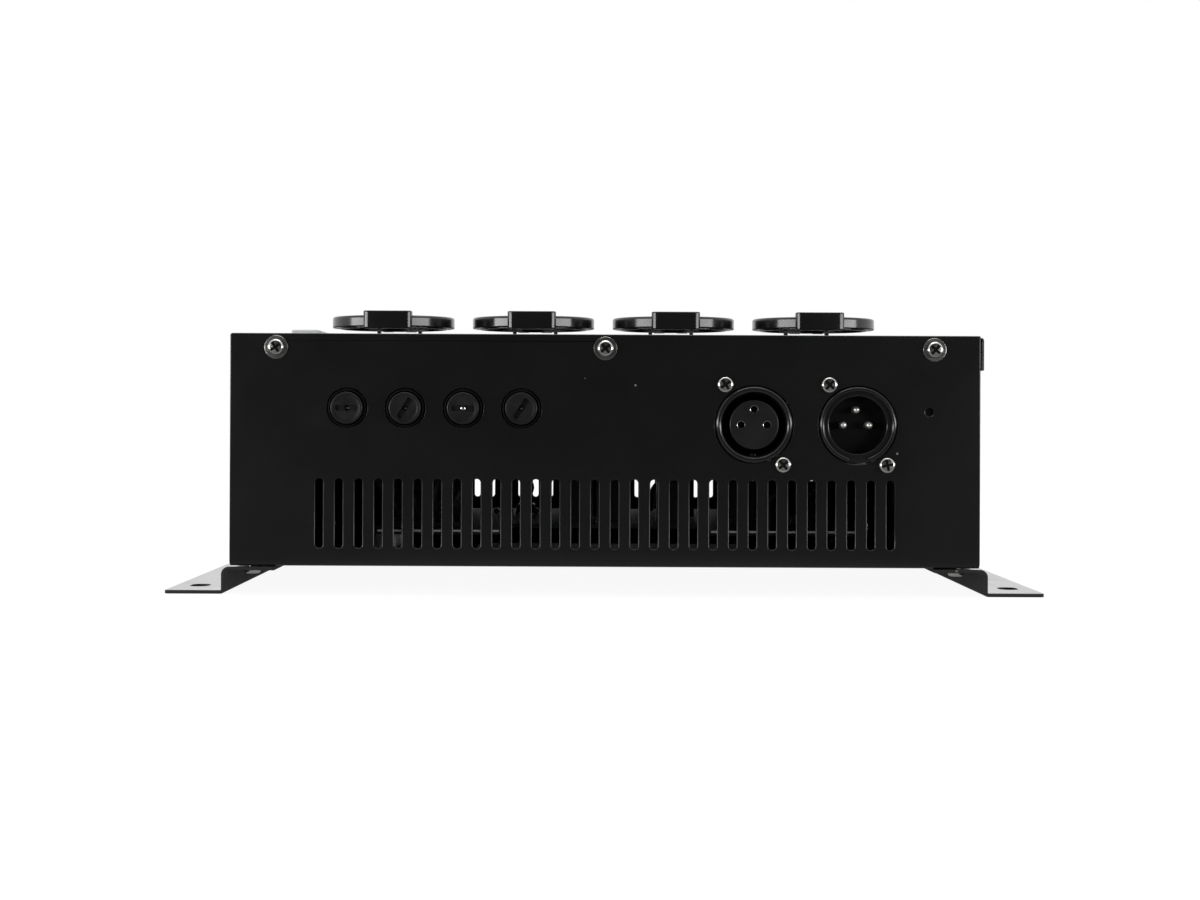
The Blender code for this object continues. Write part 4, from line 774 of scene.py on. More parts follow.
@made_once
def round_sweep(name):
    """Follows a line with a round section, for wires and springs."""
    inputs = [("Geometry", "Geometry"), ("Radius", "Float"), ("Sides", "Int"), ("Material", "Material")]
    tree, sizes, end = new_tree("GeometryNodeTree", name, inputs, [("Geometry", "Geometry")])
    line = add_node(tree, "GeometryNodeMeshToCurve", {"Mesh": sizes["Geometry"]})
    section = add_node(tree, "GeometryNodeCurvePrimitiveCircle", {"Resolution": sizes["Sides"],
                                                                 "Radius": sizes["Radius"]})
    tube = add_node(tree, "GeometryNodeCurveToMesh", {"Curve": line.outputs["Curve"], "Fill Caps": True,
                                                      "Profile Curve": section.outputs["Curve"]})
    return close_tree(tree, tube.outputs[0], sizes, end)


def punched(outlines, holes=(), slots=0, step=(0.0, 0.0, 0.0), slot=(0.002, 0.01), row_middle=(0.0, 0.0),
            sides=24):
    """A flat single layer in the local x-y plane, from outlines, round holes and a row of slots."""
    base = bpy.data.meshes.new("outline")
    points = []
    edges = []
    for outline in outlines:
        first = len(points)
        points += [(x, y, 0.0) for x, y in outline]
        edges += [(first + i, first + (i + 1) % len(outline)) for i in range(len(outline))]
    corners = len(points)
    points += [(x, y, 0.0) for x, y, radius in holes]
    base.from_pydata(points, edges, [])
    radii = base.attributes.new("hole_radius", "FLOAT", "POINT")
    for i, (x, y, radius) in enumerate(holes):
        radii.data[corners + i].value = radius
    return grown(punched_sheet(), base, {
        "Slots": slots, "Step": step, "Slot Width": slot[0], "Slot Height": slot[1],
        "Row Middle": (row_middle[0], row_middle[1], 0.0), "Hole Sides": sides})


def field(part, spots, place=Matrix()):
    """Copies of a part at (x, y, turn) spots, as one mesh."""
    base = bpy.data.meshes.new("spots")
    base.from_pydata([(x, y, 0.0) for x, y, turn in spots], [], [])
    turns = base.attributes.new("turn", "FLOAT", "POINT")
    for i, (x, y, turn) in enumerate(spots):
        turns.data[i].value = turn
    source = as_object(part)
    mesh = grown(instance_field(), base, {"Part": source})
    bpy.data.objects.remove(source, do_unlink=True)
    mesh.transform(place)
    return mesh


def swept(points, radius, sides):
    """A round wire that follows a line."""
    base = bpy.data.meshes.new("line")
    base.from_pydata(points, [(i, i + 1) for i in range(len(points) - 1)], [])
    return smooth(grown(round_sweep(), base, {"Radius": radius, "Sides": sides}))


# Folded case

def add_strip(shape, line, stations, at):
    """Faces between points of a line at several stations; at(point, station) gives the place."""
    rows = [[shape.verts.new(at(point, station)) for point in line] for station in stations]
    for low, high in zip(rows, rows[1:]):
        for i in range(len(line) - 1):
            shape.faces.new((low[i], low[i + 1], high[i + 1], high[i]))


def sideways(side):
    """Places an (x, z) point of a section at a station along y, on the left or the right side."""
    return lambda point, y: (side * point[0], y, point[1])


def along_x(point, x):
    """Places a (y, z) point of a section at a station along x."""
    return x, point[0], point[1]


def welded(shape, parts):
    """Adds single layers to a folded sheet and welds their edges."""
    for part, place in parts:
        part.transform(place)
        shape.from_mesh(part)
    bmesh.ops.remove_doubles(shape, verts=shape.verts, dist=2e-6)
    bmesh.ops.recalc_face_normals(shape, faces=shape.faces)
    mesh = bpy.data.meshes.new("sheet")
    shape.to_mesh(mesh)
    shape.free()
    return mesh


def slotted_panel(sizes, holes, slots_up):
    """The front or the rear of the tray, with its holes and its row of ventilation slots."""
    inner = HALF_WIDTH - sizes.bend
    corner = 0.0008
    outline = [(x, BASE + sizes.bend) for x in (-HALF_WIDTH, -inner, inner, HALF_WIDTH)]
    outline += [(HALF_WIDTH, TRAY_HIGH.z)]
    outline += arc((corner - HALF_WIDTH, TRAY_HIGH.z - corner), corner, 1, 2, 4)
    row_middle = (0.0, BASE + slots_up + sizes.slot_height / 2)
    return punched([outline], holes, sizes.slots, (sizes.slot_pitch, 0.0, 0.0),
                   (sizes.slot_width, sizes.slot_height), row_middle, sides=ROUND)


def build_tray(sizes):
    """Front, floor, rear and sides, folded from one sheet with open corner notches."""
    scene = bpy.context.scene
    openings = [(node, scene.connector_sizes.ring + GAP) for node in ("xlr_female_shell", "xlr_male_shell")]
    openings += [(node, scene.fuse_sizes.rim + GAP) for node in numbered("fuse_holder")]
    microphone_hole = 0.0013
    gland_hole = 0.0083
    openings += [("microphone", microphone_hole)]
    front_holes = [(x, z, SCREW_HOLE) for x, z in cover_screw_spots() + connector_screw_spots()]
    front_holes += [(middle(node).x, middle(node).z, radius) for node, radius in openings]
    front = slotted_panel(sizes, front_holes, sizes.front_slots)
    gland = middle("cable_gland")
    rear_holes = [(-x, z, SCREW_HOLE) for x, z in cover_screw_spots()] + [(-gland.x, gland.z, gland_hole)]
    rear = slotted_panel(sizes, rear_holes, sizes.rear_slots)
    bend = sizes.bend
    inner = HALF_WIDTH - bend
    foot = BASE + bend
    near = FRONT + bend
    far = REAR - bend
    floor = punched([rectangle((-inner, near), (inner, far))],
                    [(x, y, SCREW_HOLE) for x, y in bracket_screw_spots()])
    shape = bmesh.new()
    for line in (arc((near, foot), bend, 2, 3), arc((far, foot), bend, 3, 4)):
        add_strip(shape, line, (-HALF_WIDTH, -inner, inner, HALF_WIDTH), along_x)
    wall_top = TOP - sizes.cover_sheet - GAP
    ends = (FRONT + sizes.tray_sheet + HAIRLINE, near, far, REAR - sizes.tray_sheet - HAIRLINE)
    for side in (-1, 1):
        add_strip(shape, arc((inner, foot), bend, -1, 0), (near, far), sideways(side))
        add_strip(shape, [(HALF_WIDTH, foot), (HALF_WIDTH, wall_top)], ends, sideways(side))
    flat = welded(shape, [(front, on_front(0.0, 0.0)), (rear, on_rear(0.0, 0.0)), (floor, raised(BASE))])
    tray = sheet_thick(flat, sizes.tray_sheet, sizes.tray_edge)
    add_piece("case_tray", tray, "powder_coat", stands_for=("base_tray",))


def build_cover(sizes):
    """Top plate with its windows, side flanges over the tray and end flanges behind the panels."""
    bend = sizes.bend
    near = FRONT + sizes.tray_sheet + GAP
    far = REAR - sizes.tray_sheet - GAP
    inner = COVER_HALF - bend
    tongue = HALF_WIDTH - sizes.tray_sheet - GAP
    left_start = near + sizes.left_notch
    plate = [(-inner, left_start), (-tongue, left_start), (-tongue, near), (tongue, near), (inner, near)]
    plate += [(x, far) for x in (inner, tongue, -tongue, -inner)]
    outlines = [plate]
    windows = [(node, GAP - KEY_LIP, 0.0006) for node in numbered("button")]
    windows += [("display_module", GAP, 0.0008)]
    for node, extra, corner in windows:
        low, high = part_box(node)
        spot = middle(node)
        outlines.append(rounded_rectangle(high.x - low.x + 2 * extra, high.y - low.y + 2 * extra, corner,
                                          (spot.x, spot.y), steps=3))
    lamp_hole = 0.0018
    socket_hole = 0.0218
    holes = [(x, y, lamp_hole) for x, y in lamp_spots()]
    holes += [(middle(node).x, socket_y(), socket_hole) for node in numbered("socket_lid")]
    top = punched(outlines, holes, sides=ROUND)
    side_flange = 0.011
    end_flange = 0.012
    shape = bmesh.new()
    curve = arc((inner, TOP - bend), bend, 1, 0)
    drop = [(COVER_HALF, TOP - side_flange)]
    for side, start in ((-1, left_start), (1, near)):
        add_strip(shape, curve, (start, far), sideways(side))
        add_strip(shape, [curve[-1]] + drop, (start, far), sideways(side))
        add_strip(shape, curve[3:] + drop, (far, REAR), sideways(side))
        if side > 0:
            add_strip(shape, curve[3:] + drop, (FRONT, near), sideways(side))
    for y in (near, far):
        add_strip(shape, [(y, TOP), (y, TOP - end_flange)], (-tongue, tongue), along_x)
    cover = sheet_thick(welded(shape, [(top, raised(TOP))]), sizes.cover_sheet, sizes.edge)
    add_piece("case_cover", cover, "powder_coat", stands_for=("top_cover",))


def build_bracket(sizes, side):
    """A bent strip: flange under the case, short web and a foot with two slots."""
    half = sizes.bracket_sheet / 2
    bend = sizes.bracket_bend
    toe = sizes.bracket_toe
    overhang = 0.0028
    flange_width = 0.0165
    corner = 0.0012
    slot_end = 0.0185
    slot_side = 0.008
    web = HALF_WIDTH + overhang - half
    upper = BASE - GAP - half
    ends = (BRACKET_FRONT, BRACKET_REAR)
    shape = bmesh.new()
    line = arc((web - bend, upper - bend), bend, 1, 0) + arc((web + toe, half + toe), toe, 2, 3, 4)
    add_strip(shape, line, ends, sideways(side))
    outer = FOOT_EDGE - corner
    outline = [(web + toe, BRACKET_FRONT)] + arc((outer, BRACKET_FRONT + corner), corner, 3, 4, 4)
    outline += arc((outer, BRACKET_REAR - corner), corner, 0, 1, 4) + [(web + toe, BRACKET_REAR)]
    slot_step = BRACKET_REAR - BRACKET_FRONT - 2 * slot_end
    foot = punched([[(side * x, y) for x, y in outline]], slots=2, step=(0.0, slot_step, 0.0),
                   slot=(0.006, 0.0095), row_middle=(side * (FOOT_EDGE - slot_side), sum(ends) / 2))
    spots = [(x, y, SCREW_HOLE) for x, y in bracket_screw_spots() if x * side > 0]
    outline = rectangle((web - flange_width, BRACKET_FRONT), (web - bend, BRACKET_REAR))
    flange = punched([[(side * x, y) for x, y in outline]], spots)
    flat = welded(shape, [(foot, raised(half)), (flange, raised(upper))])
    name = "bracket_right" if side > 0 else "bracket_left"
    add_piece("mounting_" + name, sheet_thick(flat, sizes.bracket_sheet, sizes.edge, inward=0.0),
              "bracket_paint", stands_for=(name,))


# Screws

def cover_screw_spots():
    """Middles of the cover's front screws as (x, z)."""
    return [(middle(node).x, middle(node).z) for node in numbered("cover_screw_front", 3)]


def connector_screw_spots():
    """Middles of the connectors' screws as (x, z)."""
    return [(middle(node).x, middle(node).z) for node in numbered("xlr_screw", 4)]


def bracket_screw_spots():
    """Middles of the screws under the tray as (x, y)."""
    x = HALF_WIDTH - 0.0055
    end = 0.012
    return [(side * x, y) for side in (-1, 1) for y in (FRONT + end, REAR - end)]


def socket_screw_spots():
    """Middles of the outlets' screws as (x, y)."""
    return [(middle(node).x + side * SOCKET_SCREW, socket_y() + side * SOCKET_SCREW)
            for node in numbered("socket_lid") for side in (-1, 1)]


def pan_screw(head=0.0026, height=0.0018, seat=0.0):
    """A pan-head screw with a crossed recess and a black star of painted shade at the ground of that recess,
    as two meshes.
    """
    shank = 0.0015
    tail = seat - 0.004
    wall = seat + height * 0.36
    crown = seat + height
    corner = head * 0.34
    low_corner = height * 0.60
    profile = [(0, tail), (shank, tail), (shank, seat), (head, seat)]
    profile += [(head - corner + corner * x, wall + low_corner * y) for x, y in arc((0.0, 0.0), 1.0, 0, 1, 6)]
    profile += [(head * 0.25, crown), (0, crown)]
    half = head * 0.17
    reach = head * 0.72
    cross = []
    for quarter in range(4):
        turn = Matrix.Rotation(QUARTER * quarter, 2)
        cross += [tuple(turn @ Vector(point)) for point in ((reach, -half), (reach, half), (half, half))]
    over = 0.0004
    recess_rows = ((0.70, wall - over), (1.06, crown + over))
    # The second shape is painted shade: a black star laid in the bottom of the recess, where it is in shadow.
    painted_shade_rows = ((0.95, wall - over / 2), (0.97, crown - over))
    solids = []
    for rows in (recess_rows, painted_shade_rows):
        shape = bmesh.new()
        add_rings(shape, [[(x * grow, y * grow, level) for x, y in cross] for grow, level in rows])
        solids.append(to_mesh(shape))
    return smooth(cut(turned(profile, sides=28), [solids[0]])), solids[1]


def flat_washer():
    """A plain washer with rounded rims, lying on z = 0."""
    edge = 0.00018
    inner = 0.0017
    profile = [(inner, 0.0), (WASHER, 0.0)] + arc((WASHER - edge, WASHER_THICK - edge), edge, 0, 1, 3)
    profile += arc((inner + edge, WASHER_THICK - edge), edge, 1, 2, 3)
    return turned(profile, sides=32, closed=True)


def set_screws(name, screw, spots, place, stands_for=()):
    """A row of like screws and, as its own piece, black painted shade at the ground of their recesses."""
    head, ground = screw
    add_piece(name, field(head.copy(), spots, place), "zinc", stands_for=stands_for)
    # Painted shade: a black star in the bottom of every recess.
    add_piece(name + "_recess", field(ground.copy(), spots, place), "deep_black_and_painted_shade")


def build_screws():
    """Screws of the cover, the connectors, the brackets and the outlets."""
    plain = pan_screw()
    high = pan_screw(seat=WASHER_THICK)
    rests = GAP / 3
    turns = [math.radians(angle) for angle in (35, 40, 48, 12)]
    front = [(x, z, turn) for (x, z), turn in zip(cover_screw_spots(), turns)]
    rear = [(-x, z, turn) for (x, z), turn in zip(cover_screw_spots(), turns)]
    for label, spots, place in (("front", front, on_front(0.0, 0.0, FRONT - rests)),
                                ("rear", rear, on_rear(0.0, 0.0, REAR + rests))):
        set_screws("cover_screws_" + label, high, spots, place, numbered("cover_screw_" + label, 3))
        add_piece("cover_washers_" + label, field(flat_washer(), spots, place), "washer_steel")
    spots = [(x, z, turn) for (x, z), turn in zip(connector_screw_spots(), turns)]
    set_screws("connector_screws", plain, spots, on_front(0.0, 0.0, FRONT - rests), numbered("xlr_screw", 4))
    spots = [(x, -y, turns[0]) for x, y in bracket_screw_spots()]
    bracket_sheet = bpy.context.scene.case_sizes.bracket_sheet
    under = raised(BASE - GAP - bracket_sheet) @ FACING_DOWN
    set_screws("bracket_screws", plain, spots, under)
    spots = [(x, y, turns[1]) for x, y in socket_screw_spots()]
    set_screws("socket_screws", pan_screw(height=0.0014), spots, raised(FLANGE_TOP - 0.0019))


# Connectors

def contact_spots():
    """Middles of the three contacts, from the connector's middle."""
    return ((-0.00415, 0.0), (0.00415, 0.0), (0.0, 0.0049))


def connector_plate(ring, place):
    """The connector's square flange behind the panel, open round its shell."""
    plate = punched([rounded_rectangle(0.026, 0.031, 0.002)], [(0.0, 0.0, ring - 0.0002)], sides=FINE_ROUND)
    plate.transform(raised(-0.0015))
    plate = sheet_thick(plate, 0.0020, 0.0002)
    plate.transform(place)
    return plate


def build_female(sizes):
    """Shell with its key and flange, insert with three contact sleeves, and a black liner of painted shade in
    the bore.
    """
    place = front_of("xlr_female_shell")
    top = sizes.proud
    ring = sizes.ring
    bore = sizes.female_bore
    insert = sizes.female_insert
    bead = (ring - bore) / 2
    profile = [(0, SHELL_BACK), (ring, SHELL_BACK)] + arc((bore + bead, top - bead), bead, 0, 2, 14)
    profile += [(bore, FEMALE_FLOOR), (0, FEMALE_FLOOR)]
    shell = turned(profile, place, FINE_ROUND)
    key = soft_block(0.0020, 0.0016, 0.0005, -0.012, -0.0030, 0.0003, (0.0, 0.0004 - bore), place)
    add_piece("female_connector_shell", joined([shell, key, connector_plate(ring, place)]), "satin_plastic",
              stands_for=("xlr_female_shell",))
    face = top - 0.0006
    edge = 0.0004
    profile = [(0, FEMALE_FLOOR), (insert, FEMALE_FLOOR)] + arc((insert - edge, face - edge), edge, 0, 1, 4)
    hole = 0.00135
    ground = face - 0.0115
    hole_profile = [(0, ground), (hole, ground), (hole, face - 0.0003), (0.00165, face + 0.0002),
                    (0, face + 0.0002)]
    holes = [turned(hole_profile, place @ Matrix.Translation((x, z, 0.0)), SMALL_ROUND)
             for x, z in contact_spots()]
    block = smooth(cut(turned(profile + [(0, face)], place), holes))
    add_piece("female_connector_insert", block, "matt_plastic",
              stands_for=("xlr_female_insert",))
    low = face - 0.0112
    wall = 0.00112
    sleeve = turned([(wall, low), (0.00133, low), (0.00133, face - 0.0005), (0.00128, face - 0.0003),
                     (0.00117, face - 0.00033), (wall, face - 0.0006)], sides=SMALL_ROUND, closed=True)
    sleeves = smooth(field(sleeve, [(x, z, 0.0) for x, z in contact_spots()], place))
    add_piece("female_contacts", sleeves, "nickel")
    # Painted shade: a black liner down the bore round the insert.
    hair = 0.00005
    outer = bore - hair
    inner = insert + hair
    thin = outer - 0.0002
    low = FEMALE_FLOOR + 0.0001
    step = FEMALE_FLOOR + 0.0006
    mouth = -0.0012
    painted_shade_liner = turned([(inner, low), (outer, low), (outer, mouth), (thin, mouth), (thin, step), (inner, step)],
                   place, FINE_ROUND, closed=True)
    add_piece("female_connector_liner", painted_shade_liner, "deep_black_and_painted_shade")


def build_male(sizes):
    """Shell with its keyway and flange, insert and three pins."""
    place = front_of("xlr_male_shell")
    top = sizes.proud
    ring = sizes.ring
    floor = top - 0.013
    mouth = sizes.male_mouth
    bore = sizes.male_bore
    bead = (ring - mouth) / 2
    step = -0.0004
    lip = 0.0003
    profile = [(0, SHELL_BACK), (ring, SHELL_BACK)] + arc((mouth + bead, top - bead), bead, 0, 2, 14)
    profile += [(mouth, step)] + arc((bore + lip, step - lip), lip, 1, 2, 4) + [(bore, floor), (0, floor)]
    half = 0.0031
    notch = prism(rectangle((-half, -ring - 0.002), (half, 0.0006 - bore)), step, top + 0.002, place)
    shell = cut(turned(profile, place, FINE_ROUND), [notch])
    shell = rounded_off(shell, 0.00025, 3, math.radians(60))
    add_piece("male_connector_shell", joined([shell, connector_plate(ring, place)]), "satin_plastic",
              stands_for=("xlr_male_shell",))
    base = floor + GAP + 0.003
    # The insert takes the deepest black, which is partly painted shade down the cup.
    rim = bore - GAP / 3
    add_piece("male_connector_insert", plug(rim, floor, base, place), "deep_black_and_painted_shade",
              stands_for=("xlr_male_insert",))
    pin = sizes.pin
    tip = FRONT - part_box("xlr_male_pin_1")[0].y - sizes.pin_sunk
    profile = [(0, floor), (pin, floor)] + arc((0.0, tip - pin), pin, 0, 1, 6)[:-1] + [(0, tip)]
    for i, (x, z) in enumerate(contact_spots()):
        mesh = turned(profile, place @ Matrix.Translation((x, z, 0.0)), SMALL_ROUND)
        add_piece("contact_pin_%d" % (i + 1), mesh, "pin_metal",
                  stands_for=("xlr_male_pin_%d" % (i + 1),))


# Fuse holders

FUSE_SLOT_ANGLES = (0.0, 58.0, 0.0, 56.0)


def build_fuse(sizes, i):
    """Holder with its rim and rear tag, slotted cap, and the rivet in the cap."""
    label = "_%d" % (i + 1)
    place = front_of("fuse_holder" + label)
    edge = 0.0002
    back = -0.0277
    ledge = -0.0093
    link_bore = 0.0032
    collar = 0.0075
    rim = sizes.rim
    bore = sizes.cap + GAP / 2
    proud = sizes.rim_proud
    profile = [(0, back), (rim, back), (rim, -0.005), (collar, -0.005), (collar, -0.0015), (rim, -0.0015)]
    profile += arc((rim - edge, proud - edge), edge, 0, 1, 3)
    profile += [(rim - 2 * edge, proud), (bore, proud - 0.0012), (bore, ledge), (link_bore, ledge),
                (link_bore, back + 0.0015), (0, back + 0.0015)]
    shape = bmesh.new()
    add_turned(shape, profile, place, ROUND)
    add_prism(shape, rectangle((-0.002, -0.0004), (0.002, 0.0004)), back - 0.0055, back, place)
    # The holder takes the deepest black, which is partly painted shade in the gap round the cap.
    add_piece("fuse_socket" + label, to_mesh(shape), "deep_black_and_painted_shade",
              stands_for=("fuse_holder" + label,))
    top = sizes.cap_proud
    cap = sizes.cap
    soft = 0.0004
    dish = 0.0002
    over = top + 0.001
    profile = [(0, -0.009), (cap, -0.009)] + arc((cap - soft, top - soft), soft, 0, 1, 5)
    profile += [(cap - 2 * soft, top), (cap - 0.0013, top - dish), (0, top - dish)]
    slot = prism(rounded_rectangle(sizes.slot, sizes.slot_width, 0.0005, steps=3), top - 0.0016, over)
    centre = 0.00085
    hole = plug(centre, top - 0.0040, over, sides=SMALL_ROUND)
    knob = cut(turned(profile), [slot, hole])
    knob = rounded_off(knob, 0.00012, 2, math.radians(50))
    facing = place @ Matrix.Rotation(math.radians(FUSE_SLOT_ANGLES[i]), 4, "Z")
    knob.transform(facing)
    body = "fuse_knob" + label
    add_piece("fuse_knob" + label, knob, "fuse_plastic", body=body,
              stands_for=("fuse_cap" + label,))
    rivet = 0.00083
    crown = 0.0004
    level = top - (0.0006 if i == PROUD_RIVET else 0.0034)
    profile = [(0, level - 2 * crown), (rivet, level - 2 * crown)]
    profile += [(rivet * x, level - crown + crown * y) for x, y in arc((0.0, 0.0), 1.0, 0, 1, 4)[:-1]]
    profile += [(0, level)]
    add_piece("fuse_contact" + label, turned(profile, facing, SMALL_ROUND), "nickel", body=body)


def build_link(i):
    """A glass fuse link: nickel end caps joined by the wire, and a glass tube."""
    label = "_%d" % (i + 1)
    body = "fuse_carrier" + label
    low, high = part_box("fuse_link" + label)
    place = front_of("fuse_link" + label)
    radius = (high.x - low.x) / 2
    near = FRONT - low.y
    far = FRONT - high.y
    cap = 0.0055
    soft = 0.0003
    wire = 0.00015
    far_cap = far + cap
    near_cap = near - cap
    profile = [(0, far), (radius - soft, far), (radius, far + soft), (radius, far_cap), (wire, far_cap)]
    profile += [(wire, near_cap), (radius, near_cap), (radius, near - soft), (radius - soft, near), (0, near)]
    add_piece("fuse_ends" + label, turned(profile, place, 32), "nickel", body=body,
              stands_for=("fuse_link" + label,))
    outer = radius - 0.0002
    inner = radius - 0.0008
    start = far_cap + HAIRLINE
    end = near_cap - HAIRLINE
    tube = turned([(inner, start), (outer, start), (outer, end), (inner, end)], place, 32, closed=True)
    add_piece("fuse_tube" + label, tube, "fuse_glass", body=body)


# Sockets and lids

def socket_y():
    """The outlets' middle from front to rear."""
    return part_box("socket_insert_1")[0].y + 0.025


def socket_flange(sizes):
    """The square flange with its well and two sunk screw holes."""
    screws = [(side * SOCKET_SCREW, side * SOCKET_SCREW, 0.0028) for side in (-1, 1)]
    plate = punched([rounded_rectangle(sizes.flange, sizes.flange, 0.004)], [(0.0, 0.0, sizes.well)] + screws,
                    sides=WELL_ROUND)
    plate.transform(raised(FLANGE_TOP))
    wall = dict(thickness=FLANGE_THICK, offset=-1.0)
    rim = dict(width=0.0005, segments=3, limit_method="ANGLE")
    return smooth(modified(plate, ("SOLIDIFY", wall), ("BEVEL", rim)))


def hinge_ears():
    """Two ears on the flange that hold the hinge pin."""
    foot = FLANGE_TOP - GAP
    radius = 0.0022
    outline = [(HINGE_Y - radius, foot)] + arc((HINGE_Y, HINGE_Z), radius, 2, 0, 8)
    outline += [(0.025, FLANGE_TOP + GAP), (0.025, foot)]
    shape = bmesh.new()
    for side in (-1, 1):
        add_rings(shape, [[(x, y, z) for y, z in outline] for x in sorted((side * 0.0072, side * 0.0086))])
    return rounded_off(to_mesh(shape), 0.0003)


def build_socket(sizes, i):
    """Outlet: flange, well with two pin holes, hinge ears, earth clips and lid."""
    label = "_%d" % (i + 1)
    here = Matrix.Translation((middle("socket_lid" + label).x, socket_y(), 0.0))
    floor = FLANGE_TOP - 0.0175
    well = sizes.well
    outer = 0.0215
    body_low = FLANGE_TOP - 0.038
    chamfer = 0.0006
    profile = [(0, body_low), (outer, body_low), (outer, TOP), (well, TOP), (well, floor + chamfer),
               (well - chamfer, floor), (0, floor)]
    ground = floor - 0.015
    hole = 0.003
    hole_profile = [(0, ground), (hole, ground), (hole, floor - 0.0004), (0.0036, floor + 0.0003),
                    (0, floor + 0.0003)]
    holes = [turned(hole_profile, Matrix.Translation((side * 0.0095, 0.0, 0.0)), 24) for side in (-1, 1)]
    cup = smooth(cut(turned(profile, sides=WELL_ROUND), holes))
    whole = joined([socket_flange(sizes), cup, hinge_ears()])
    whole.transform(here)
    add_piece("socket_body" + label, whole, "gloss_plastic",
              stands_for=("socket_insert" + label,))
    build_earth_clips(here, floor, i)
    build_lid(sizes, i, here)
    build_lid_spring(i, here)


def build_lid(sizes, i, here):
    """Lid with its skirt, lifting tab, two hinge arms and the pin."""
    label = "_%d" % (i + 1)
    top = TOP + sizes.lid_top
    low = TOP + sizes.lid_bottom
    skirt_low = TOP + sizes.skirt_bottom
    skirt = sizes.skirt
    wall = skirt - 0.0016
    edge = sizes.lid_edge
    radius = sizes.lid
    soft = 0.0004
    fine = 0.00015
    dish = 0.0003
    shape = bmesh.new()
    profile = [(0, top - dish), (0.0170, top - dish), (0.0176, top)]
    profile += arc((radius - edge, top - edge), edge, 1, 0, 6)
    profile += arc((radius - soft, low + soft), soft, 0, -1, 4)
    profile += [(skirt, low)] + arc((skirt - fine, skirt_low + fine), fine, 0, -1, 2)
    profile += [(wall, skirt_low), (wall, top - 0.002), (0, top - 0.002)]
    add_turned(shape, profile, sides=128)
    tab_depth = 0.0065
    tab_middle = (0.0, tab_depth / 2 - 0.02525)
    soft_box(shape, sizes.tab, tab_depth, sizes.tab_edge, TOP + 0.0055, TOP + sizes.tab_top, soft, tab_middle)
    lid = to_mesh(shape)
    near = radius - 0.0016
    arm = [(near, low + GAP), (near, top - edge)] + arc((HINGE_Y, HINGE_Z), BARREL, 1, -1, 12)
    shape = bmesh.new()
    for side in (-1, 1):
        add_rings(shape, [[(x, y, z) for y, z in arm] for x in sorted((side * 0.0023, side * 0.0065))])
    arms = rounded_off(to_mesh(shape), 0.00025)
    lay = Matrix.Translation((0.0, HINGE_Y, HINGE_Z)) @ Matrix.Rotation(QUARTER, 4, "Y")
    reach = 0.0090
    rod = 0.001
    tip = 0.0008
    chamfer = 0.0002
    pin = turned([(0, -reach), (tip, -reach), (rod, chamfer - reach), (rod, reach - chamfer), (tip, reach),
                  (0, reach)], lay, SMALL_ROUND)
    whole = joined([lid, arms, pin])
    whole.transform(here)
    add_piece("outlet_lid" + label, whole, "gloss_plastic", body="lid" + label,
              stands_for=("socket_lid" + label,))


def build_lid_spring(i, here):
    """The wound spring round the hinge pin."""
    label = "_%d" % (i + 1)
    turns = 4.5
    wire = 0.0003
    coil = 0.00135
    half = 0.0019
    steps = int(turns * 14)
    points = []
    for step in range(steps + 1):
        angle = 2 * math.pi * turns * step / steps
        x = 2 * half * step / steps - half
        points.append((x, HINGE_Y + coil * math.cos(angle), HINGE_Z + coil * math.sin(angle)))
    spring = swept(points, wire, 8)
    spring.transform(here)
    add_piece("lid_spring" + label, spring, "nickel", body="lid" + label)


def build_earth_clips(here, floor, i):
    """Two sprung earth contacts that stand out of the well's wall."""
    ends = 0.0187
    middles = 0.0172
    line = [(ends, floor + 0.0008), (middles, floor + 0.004), (0.0163, floor + 0.0075),
            (middles, floor + 0.0110), (ends, floor + 0.0135)]
    clips = []
    for side in (-1, 1):
        shape = bmesh.new()
        add_strip(shape, line, (-0.0022, 0.0022), lambda point, x: (side * point[0], x * side, point[1]))
        clips.append(sheet_thick(welded(shape, []), 0.0005, 0.00008, inward=0.0))
    whole = joined(clips)
    whole.transform(here @ Matrix.Rotation(QUARTER, 4, "Z"))
    add_piece("earth_clips_%d" % (i + 1), whole, "nickel")


# Controls

def lamp_spots():
    """Middles of the four signal lamps as (x, y)."""
    pitch = 0.008
    return [(middle("display_module").x + (i - 1.5) * pitch, FRONT + 0.070) for i in range(CHANNELS)]


def build_digits(window_low, window_high):
    """Three digits of seven unlit segments each, a hair above the display's window."""
    bar = 0.0034
    thick = 0.0009
    point = thick / 2
    pitch = 0.0078
    outline = [(-bar / 2, 0.0), (point - bar / 2, -point), (bar / 2 - point, -point), (bar / 2, 0.0),
               (bar / 2 - point, point), (point - bar / 2, point)]
    spots = []
    across = (window_low.x + window_high.x) / 2
    along = (window_low.y + window_high.y) / 2
    for digit in (-1, 0, 1):
        x = across + digit * pitch
        spots += [(x, along + level * bar * 1.06, 0.0) for level in (-1, 0, 1)]
        spots += [(x + side * bar * 0.53, along + level * bar * 0.53, QUARTER)
                  for side in (-1, 1) for level in (-1, 1)]
    segments = field(prism(outline, 0.0, 0.00006), spots, raised(window_high.z + 0.00001))
    add_piece("display_segments", segments, "display_segment")


